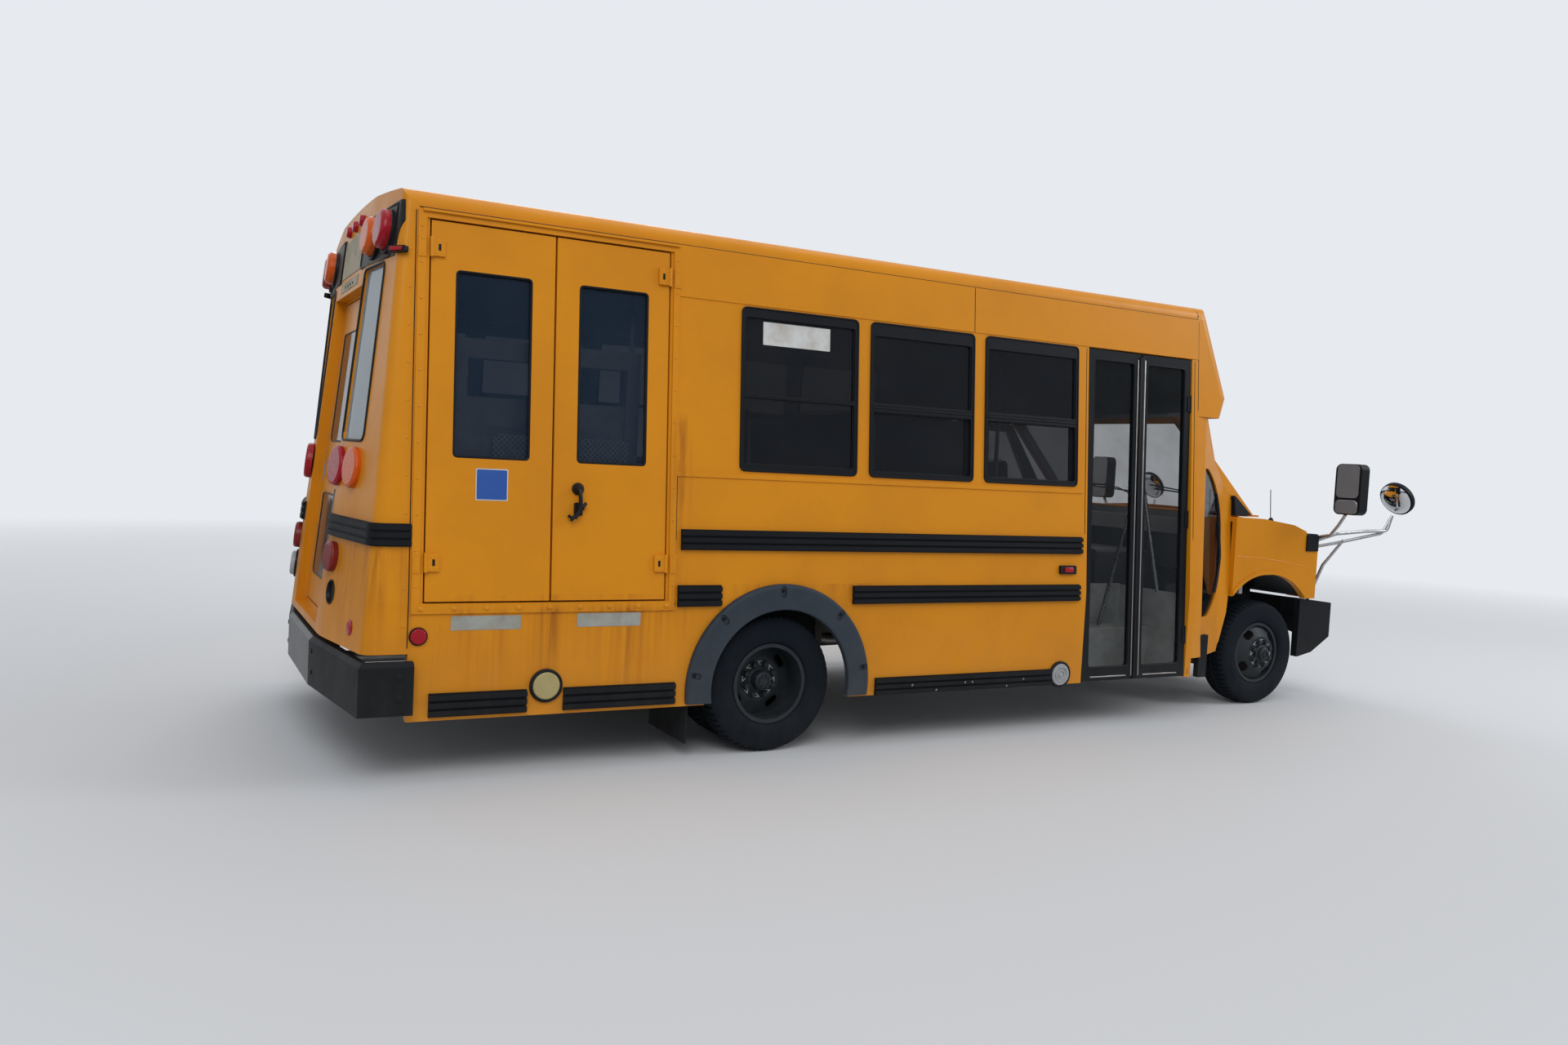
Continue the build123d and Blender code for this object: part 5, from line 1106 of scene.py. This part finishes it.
# %% [markdown]
# The rear end gathers the most small parts: a faded pale board over the door, beads round its panes and the tall
# corner windows, the door's paddle handle, a grey strip, and the bolts of the bumper. All of it follows the lean of
# the rear face, so the outlines are either laid on that plane or shot at the curved cap.


# %% Rear door
def rear_loop(half, z0, z1, corner, out):
    """Rounded rectangle on a plane along the rear face."""
    corners = ((-half, z0), (half, z0), (half, z1), (-half, z1))
    return rounded_path([(rear_face(z) - out, y, z) for y, z in corners], corner, closed=True)


door_fittings, panes = [], []
for low, high in ((0.820, 1.240), (1.545, 2.110)):
    door_fittings.append(tube(rear_loop(0.292, low - 0.010, high + 0.010, 0.03, -0.053), 0.005, closed=True))
    middle = rear_seat("rear_door", 0.330, (low + high) / 2)
    middle.translation.y = 0.0
    panes.append((plate_shape(0.578, high - low + 0.014, 0.003, 0.028, 6), middle))
paddle = rear_seat("rear_door", 0.375, 1.375)
GRAB_RUN = ((-0.09, -0.14, 0.0), (-0.09, -0.14, 0.032), (-0.09, 0.14, 0.032), (-0.09, 0.14, 0.0))
door_fittings += [(plate_shape(0.090, 0.175, 0.0015, 0.043, 8), paddle),
                  (box_shape((0.030, 0.105, 0.016), 0.005, 3), paddle),
                  tube(rounded_path(GRAB_RUN, 0.02), 0.008, paddle)]
scatter("rear_door_fittings", "lamp_black", door_fittings, "rear_door")
scatter("rear_door_panes", "bronze_glass", panes, "rear_door")
scatter("rear_door_screws", "dull_bolt",
        [(hinge_screw, rear_seat("rear_door", -0.430 + along, z + offset))
         for z in (0.800, 1.450, 2.150) for along in (0.014, 0.032) for offset in (-0.036, 0.036)], "rear_door")

# %% Rear cap and bumper
# Columns: node, corners as distance from the centre plane and height, their rounding, thickness of the bead
REAR_OUTLINES = (
    ("rear_cap", ((0.494, 1.544), (0.886, 1.544), (0.886, 2.381), (0.494, 2.381)), 0.05, 0.0075),
    ("warning_lamps", ((0.337, 2.407), (0.97, 2.398), (1.03, 2.632), (0.337, 2.636)), 0.03, 0.006),
)
cup = turned_shape([(0.059, 0.0), (0.060, 0.003), (0.054, 0.003), (0.050, -0.012), (0.020, -0.014), (0, -0.012)], 24)
rear_beads = [(cup, moved(0, -0.073, 0, rear_seat("rear_cap", -0.692, 0.888)))]
for side in SIDES:
    for node, corners, corner, radius in REAR_OUTLINES:
        flat = rounded_path([(side * y, z, 0) for y, z in corners], corner, closed=True)
        rear_beads.append(tube([spot(rear_seat(node, dot.x, dot.y)) for dot in flat], radius, closed=True))
rear_beads += [(pocket_screw, rear_seat("rear_cap", y, 2.36)) for y in (-0.12, -0.04, 0.04, 0.12)]
scatter("rear_beads", "lamp_black", rear_beads)
scatter("pale_board", "faded_board",
        [(plate_shape(0.600, 0.205, 0.004, 0.012, 4), rear_seat("rear_cap", 0.0, 2.515)),
         (plate_shape(0.560, 0.052, 0.003, 0.006, 3), rear_seat("rear_cap", 0.0, 2.365))])
scatter("grey_strips", "grey_trim",
        [(plate_shape(0.038, 0.400, 0.0012, 0.002, 1), rear_seat("rear_cap", -0.480, 1.100))])
bumper_bolt = bolt_shape(0.0130, 0.005)
scatter("bumper_bolts", "lamp_black",
        [(bumper_bolt, rear_seat("rear_bumper", y, z)) for y in (-0.500, 0.500) for z in (0.395, 0.500)]
        + [(bumper_bolt, side_seat("rear_bumper", -1.93, z, side)) for z in (0.40, 0.50) for side in SIDES])

# %% [markdown]
# Over the driver's door a narrow panel closes the body down to the door's top edge, with a soft seal along its foot.
# It could ride on the door, but the real one stays with the body, just above the edge, so the door swings free
# under it.

# %% Driver's door header
HEADER_AT = 2.930
header = side_seat("driver_door", HEADER_AT, 1.925, LEFT)
door_top_y = spot(header).y
header.translation = (at(HEADER_AT), door_top_y - 0.013, 1.980)
scatter("door_header", "body_paint", [(plate_shape(0.530, 0.064, 0.006, 0.004, 2), header)])
seal_run = [(at(station), door_top_y - 0.010, 1.947) for station in (2.668, 2.85, 3.02, 3.190)]
scatter("door_seal", "rubber", [tube(seal_run, 0.0045)])

# %% [markdown]
# At the front the tall mirrors hold two panes, the flat one above and a curved one below, and the round crossview
# mirrors on the bumper arms look back at the driver. A whip antenna and two wipers finish the cab. The wipers are
# tubes through points on the windshield, so that they follow its curve.

# %% Mirrors
upper_pane = plate_shape(0.172, 0.235, 0.004, 0.030, 6)
lower_pane = plate_shape(0.172, 0.096, 0.006, 0.030, 6, 0.003)
crossview = turned_shape([(0, -0.002), (0.116, -0.002), (0.116, 0.002), (0.100, 0.016), (0.070, 0.029),
                          (0.036, 0.036), (0, 0.039)], 32)
crossviews = []
for side in SIDES:
    tilt = Matrix.Rotation(radians(side * 25), 3, "Z") @ Matrix.Rotation(radians(62), 3, "Y")
    axis = tilt @ Vector((0, 0, 1))
    middle = Vector((at(5.130), side * 1.200, 1.512))
    crossviews.append((crossview, seat_on("mirror_heads", middle - axis * 0.6, axis)))
scatter("mirror_panes", "flat_mirror",
        [(pane, rear_seat("mirror_heads", side * 1.230, z))
         for side in SIDES for pane, z in ((upper_pane, 1.618), (lower_pane, 1.436))])
scatter("crossview_panes", "mirror_face", crossviews)

# %% Antenna and wipers
MAST_AT, MAST_Y = 4.117, -0.930
mast_foot = turned_shape([(0, 0), (0.020, 0), (0.018, 0.012), (0.008, 0.026), (0, 0.028)], 16)
fittings = [tube([(at(x), MAST_Y, z) for x, z in ((MAST_AT, 1.300), (4.110, 1.36), (4.094, 1.530))], 0.0028),
            (mast_foot, seat_on("front_fenders", (at(MAST_AT), MAST_Y, 3.0), (0, 0, -1)))]
# Columns: distance from the foot, height, distance off the glass
WIPER_ARM = ((0.0, 1.385, 0.012), (0.20, 1.46, 0.030), (0.56, 1.50, 0.026))
for foot in (-0.62, 0.10):
    arm = [spot(front_seat("windshield", foot + y, z), lift) for y, z, lift in WIPER_ARM]
    blade = [spot(front_seat("windshield", foot + 0.04 + 0.12 * k, 1.452 + 0.008 * k), 0.010) for k in range(5)]
    fittings += [tube(arm, 0.005), tube(blade, 0.0055)]
scatter("cab_fittings", "lamp_black", fittings)

# %% [markdown]
# The driver's door has a plain black pull with a lock beside it, and a soft crease runs along each front fender.
# The crease is a tube sunk almost to its crown, which leaves a low ridge that the light picks out.

# %% Door handle and crease lines
scatter("driver_door_handle", "black_trim",
        [(plate_shape(0.135, 0.042, 0.020, 0.014, 4), side_seat("driver_door", 2.790, 1.235, LEFT)),
         (dome_shape(0.011, 0.005), side_seat("driver_door", 2.700, 1.235, LEFT))], "driver_door")
CREASE_SINK, CREASE_RADIUS = 0.0060, 0.0075
CREASE_RUN = ((3.720, 1.057), (3.86, 1.051), (4.018, 1.042), (4.20, 1.022), (4.32, 1.005), (4.439, 0.988))
scatter("fender_creases", "body_paint",
        [tube([spot(side_seat("front_fenders", x, z, side), -CREASE_SINK) for x, z in CREASE_RUN], CREASE_RADIUS)
         for side in SIDES])

# %% [markdown]
# Inside the entrance a bright tube rises at each side of the steps, and each step ends in a pale ribbed edge that
# shows through the door glass. Bent tubes and small blocks are enough, because they are only seen through a pane.

# %% Grab rails and step edges
RAIL_RUNS = (
    ((2.155, -0.95, 0.81), (2.34, -0.91, 1.50), (2.40, -0.90, 1.50), (2.52, -0.76, 0.555)),
    ((3.029, -0.95, 0.81), (2.88, -0.91, 1.50), (2.82, -0.90, 1.50), (2.70, -0.76, 0.555)),
)
rails = [tube(rounded_path([(at(x), y, z) for x, y, z in run], 0.06), 0.013) for run in RAIL_RUNS]
rails += [tube([(at(station), -0.35, z) for z in (0.815, 2.70)], 0.014) for station in (2.08, -0.55)]
scatter("grab_rails", "bright_steel", rails)
STEPS_X = at(2.592)
nosing = box_shape((0.850, 0.030, 0.006), 0.002)
tread_rib = box_shape((0.830, 0.012, 0.004), 0.001, 1)
treads = [(nosing, moved(STEPS_X, y, z)) for y, z in ((-1.118, 0.3195), (-0.872, 0.5595), (-0.602, 0.8195))]
treads += [(tread_rib, moved(STEPS_X, y + 0.04 * k, z)) for y, z in ((-1.07, 0.3195), (-0.82, 0.5595))
           for k in range(4)]
scatter("step_edges", "white_plate", treads)

# %% [markdown]
# The stop arm is a blank red octagon with a white border and two red lamps. The border is a thin collar turned in
# eight steps, which gives the octagon by itself, and a sixteenth of a turn sets a flat side on top.

# %% Stop arm border and lamps
stop_face = side_seat("stop_arm", 2.090, 1.290, LEFT)
scatter("stop_arm_border", "white_plate",
        [(hoop_shape(0.217, 0.232, 0.0012, 8), stop_face @ Matrix.Rotation(pi / 8, 4, "Z"))], "stop_arm")
stop_lamp = turned_shape([(0, -0.001), (0.042, -0.001), (0.042, 0.006), (0.034, 0.018), (0, 0.024)], 24)
scatter("stop_arm_lamps", "red_lamp",
        [(stop_lamp, moved(0, y, 0, stop_face)) for y in (0.150, -0.150)], "stop_arm")

# %% [markdown]
# Each head lamp is a bright bowl with a bulb in a dark frame, and an amber lens lies below it. The low clear lamps
# on the skirt show two rings and a round middle behind the lens. All of them are turned shapes on the frame's lamps.

# %% Head lamps and clear skirt lamps
lamp_seats = [front_seat("head_lamps", side * y, 0.965) for side in SIDES for y in (0.690, 0.800)]
turn_seats = [front_seat("head_lamps", side * 0.745, 0.885) for side in SIDES]
lens_seats = [side_seat("running_lamps", *CLEAR_LAMP, side) for side in SIDES]
bowl = turned_shape([(0, 0.001), (0.030, 0.0012), (0.044, 0.004), (0.047, 0.008), (0.050, 0.004), (0.050, 0)], 28)
bulb = turned_shape([(0, 0.012), (0.008, 0.010), (0.011, 0.004), (0.012, 0)], 16)
lens_rings = [hoop_shape(reach - 0.0045, reach, 0.004, 28) for reach in (0.024, 0.045)]
# Columns: piece, finish, slot, shapes, seats
LAMP_PARTS = (
    ("head_lamp_bowls", "bright_steel", "bright_steel", (bowl,), lamp_seats),
    ("head_lamp_bulbs", "clear_lamp", "clear_lamp", (bulb,), lamp_seats),
    ("turn_lenses", "amber_lamp", "clear_lamp", (plate_shape(0.220, 0.034, 0.005, 0.010, 4),), turn_seats),
    ("head_lamp_frames", "lamp_black", "black_trim", (hoop_shape(0.052, 0.056, 0.010, 28),), lamp_seats),
    ("lens_rings", "bare_steel", "clear_lamp", lens_rings, lens_seats),
    ("lens_middles", "clear_lamp", "clear_lamp", (dome_shape(0.014, 0.006, 20),), lens_seats),
)
for name, look, slot, shapes, seats in LAMP_PARTS:
    scatter(name, look, [(shape, seat) for seat in seats for shape in shapes])

# %% [markdown]
# The folded lift shows its platform through the door panes: a pale expanded-metal mesh, given a whiter finish than
# its metal as painted light, so that it shows through the dark pane. A see-through pattern would be lighter, but thin
# crossed bars cast real shadows and stay sharp up close.

# %% Lift platform mesh
MESH_STEP, MESH_RADIUS = 0.026, 0.0034


def diagonal_bars(x0, x1, y, z0, z1):
    """Crossed thin bars that fill an upright rectangle at a distance from the centre plane."""
    bars = []
    for rise in (1, -1):
        low, high = z0 - max(rise * x0, rise * x1), z1 - min(rise * x0, rise * x1)
        for k in range(1, int((high - low) / MESH_STEP)):
            level = low + k * MESH_STEP
            start, end = sorted((rise * (z0 - level), rise * (z1 - level)))
            bars.append(tube([(x, y, level + rise * x) for x in (max(x0, start), min(x1, end))], MESH_RADIUS, rings=4))
    return bars


lift_low, lift_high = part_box("wheelchair_lift")
# The mesh's white finish is partly its pale metal and partly painted light
scatter("lift_mesh", "white_painted_light",
        diagonal_bars(lift_low[0] + 0.20, lift_high[0] - 0.05, lift_low[1] - 0.004, 0.95, 1.61))

# %% [markdown]
# A school bus bench is a foam pad on a frame under one stretched vinyl cover, so it swells between its seams and
# pulls in at its corners. The real one is sewn from flat panels and filled. The same is done here: a slightly
# smaller closed form is inflated by cloth simulation, and a cap keeps each point near its start so the cushion stays
# in its place. Every bench is alike, so a pad and a back are inflated once and copied along the aisle.

# %% Cushion forms
FILLING_STEPS = 20
CROWN, WAIST = 0.010, 0.006
LINE_SHARE, LINE_HALF, LINE_DEPTH = 0.342, 0.016, 0.005
BENCH_PAD, BENCH_BACK = (0.412, 0.800, 0.090), (0.668, 0.840, 0.072)
DRIVER_PAD, DRIVER_BACK = (0.420, 0.480, 0.108), (0.720, 0.440, 0.092)


def settled(form, name):
    """New plain mesh with the object's modifiers applied."""
    graph = bpy.context.evaluated_depsgraph_get()
    mesh = bpy.data.meshes.new_from_object(form.evaluated_get(graph), depsgraph=graph)
    mesh.name = name
    return mesh


def inflate(mesh, cap, bottom_flat):
    """Fills the skin with air, and lets no point move further than the cap."""
    rest = [dot.co.copy() for dot in mesh.vertices]
    filled = link(bpy.data.objects.new("filling", mesh))
    cloth = filled.modifiers.new("filling", "CLOTH")
    cloth.settings.quality = 5
    cloth.settings.mass = 0.3
    cloth.settings.use_pressure = True
    cloth.settings.uniform_pressure_force = 4.0
    cloth.settings.effector_weights.gravity = 0.0
    cloth.settings.tension_stiffness = 15.0
    cloth.settings.compression_stiffness = 15.0
    cloth.settings.bending_stiffness = 0.5
    cloth.collision_settings.use_collision = False
    for frame_number in range(1, FILLING_STEPS + 1):
        bpy.context.scene.frame_set(frame_number)
    swollen = settled(filled, "swollen")
    for dot, now, was in zip(mesh.vertices, swollen.vertices, rest):
        step = now.co - was
        if step.length > cap:
            step *= cap / step.length
        if bottom_flat and was.z + step.z < 0.0:
            step.z = -was.z
        dot.co = was + step
    bpy.context.scene.frame_set(1)
    bpy.data.objects.remove(filled)
    bpy.data.meshes.remove(swollen)


def soften(mesh, size, bottom_flat):
    """Pulls the sides in between the corners, crowns the top and presses the seam lines in."""
    length, width, height = size
    for dot in mesh.vertices:
        u, v, w = 2 * dot.co.x / length, 2 * dot.co.y / width, dot.co.z / height
        crown = max(0.0, 1 - u * u) * max(0.0, 1 - v * v)
        if w > 0.5 or not bottom_flat:
            dot.co.z += CROWN * crown * (w - 0.5) * 2
        dot.co.x -= WAIST * copysign(1, u) * max(0.0, abs(u) - 0.8) / 0.2 * max(0.0, 1 - v * v)
        dot.co.y -= WAIST * copysign(1, v) * max(0.0, abs(v) - 0.9) / 0.1 * max(0.0, 1 - u * u)
        off_line = abs(abs(dot.co.y) - LINE_SHARE * width)
        if off_line < LINE_HALF and w > 0.55:
            dot.co.z -= LINE_DEPTH * (1 - off_line / LINE_HALF)
    mesh.update()


def cushion(name, size, voxel, cap, bottom_flat=True):
    """Inflated closed form of the given size, centred on its base."""
    length, width, height = size
    shape = bmesh.new()
    bmesh.ops.create_cube(shape, size=1.0)
    for dot in shape.verts:
        dot.co = (dot.co.x * length, dot.co.y * width, (dot.co.z + 0.5) * height)
    round_edges(shape, shape.edges[:], height * 0.30, 3)
    form = link(bpy.data.objects.new(name, make_mesh(shape)))
    remesh = form.modifiers.new("even_skin", "REMESH")
    remesh.mode = "VOXEL"
    remesh.voxel_size = voxel
    skin = settled(form, name)
    inflate(skin, cap, bottom_flat)
    soften(skin, size, bottom_flat)
    bpy.data.objects.remove(form)
    spans = [max(d.co[i] for d in skin.vertices) - min(d.co[i] for d in skin.vertices) for i in range(3)]
    print(name, len(skin.vertices), [round(s, 3) for s in spans])
    return skin


bench_pad = cushion("bench_pad", BENCH_PAD, 0.019, 0.012)
bench_back = cushion("bench_back", BENCH_BACK, 0.0235, 0.010, bottom_flat=False)
driver_pad = cushion("driver_pad", DRIVER_PAD, 0.014, 0.014)
driver_back = cushion("driver_back", DRIVER_BACK, 0.016, 0.012, bottom_flat=False)

# %% [markdown]
# Piping covers the seam round each cushion, and the benches stand on square legs with a tray under the pad. These
# parts are stiff, so they are plain tubes and blocks, placed bench by bench from the same stations as the cushions.


# %% Places of the seats
def piping(size, height, place):
    """Piping round a cushion's edge at one height."""
    x, y = size[0] / 2 - 0.004, size[1] / 2 - 0.004
    path = rounded_path([(-x, -y, height), (x, -y, height), (x, y, height), (-x, y, height)], 0.035, closed=True)
    return tube(path, 0.0035, place, closed=True, rings=6)


def back_frame(x, y, z, lean):
    """Axes of a seat back: its length runs up the back and its thickness backwards and forwards."""
    up = Vector((-sin(lean), 0, cos(lean)))
    front = Vector((cos(lean), 0, sin(lean)))
    matrix = Matrix((up, front.cross(up), front)).transposed().to_4x4()
    matrix.translation = (x, y, z)
    return matrix


BENCHES = ((LEFT, -1.250), (LEFT, -0.500), (LEFT, 0.250), (LEFT, 1.000), (LEFT, 1.750),
           (RIGHT, -0.150), (RIGHT, 0.600), (RIGHT, 1.350))
BENCH_LEAN, DRIVER_LEAN = radians(5.0), radians(6.0)
pads, backs, pipes, legs = [], [], [], []
leg = box_shape((0.026, 0.026, 0.326), 0.004)
back_post = box_shape((0.024, 0.024, 0.52), 0.004)
tray = plate_shape(0.360, 0.760, 0.012, 0.02, 3)
for side, station in BENCHES:
    pad_place = moved(at(station + 0.215), side * 0.670, 1.160)
    back_place = back_frame(at(station - 0.035) - 0.036, side * 0.630, 1.520, BENCH_LEAN)
    pads.append((bench_pad, pad_place))
    backs.append((bench_back, back_place))
    pipes += [piping(BENCH_PAD, 0.024, pad_place), piping(BENCH_BACK, 0.020, back_place)]
    legs.append((tray, moved(0, 0, -0.014, pad_place)))
    for y in (0.330, 0.990):
        legs += [(leg, moved(at(station + x), side * y, 0.985)) for x in (0.055, 0.355)]
        legs.append((back_post, moved(at(station + 0.020), side * y, 1.30)))
DRIVER_X, DRIVER_Y = at(3.080), 0.595
driver_pad_place = moved(DRIVER_X, DRIVER_Y, 0.890)
driver_back_place = back_frame(at(2.785) - 0.046, DRIVER_Y, 1.290, DRIVER_LEAN)
pipes += [piping(DRIVER_PAD, 0.030, driver_pad_place), piping(DRIVER_BACK, 0.030, driver_back_place)]
legs.append((box_shape((0.230, 0.280, 0.270), 0.020, 3), moved(DRIVER_X, DRIVER_Y, 0.742)))
print("benches", len(BENCHES))

# %% [markdown]
# The soft pieces take the place of the frame's plain seats. A smoothing step rounds their coarse skin, which costs
# less than a finer simulation would.

# %% Seat pieces
SOFT_PIECES = {"bench_cushions": pads, "bench_backs": backs, "driver_cushion": [(driver_pad, driver_pad_place)],
               "driver_back": [(driver_back, driver_back_place)]}
seat_pieces = []
for name, places in SOFT_PIECES.items():
    piece = scatter(name, "seat_vinyl", places, sharp=180)
    smooth = piece.modifiers.new("smooth", "SUBSURF")
    smooth.levels = smooth.render_levels = 1
    seat_pieces.append(piece)
scatter("seat_piping", "seat_vinyl", pipes)
seat_pieces.append(scatter("seat_legs", "chassis_black", legs))
low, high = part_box("seats")
for piece in seat_pieces:
    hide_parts("seats")
    ends = [(min(c[i] for c in piece.bound_box), max(c[i] for c in piece.bound_box)) for i in range(3)]
    print(piece.name, "inside the seats' box by", [round(ends[i][0] - low[i], 3) for i in range(3)],
          [round(high[i] - ends[i][1], 3) for i in range(3)])
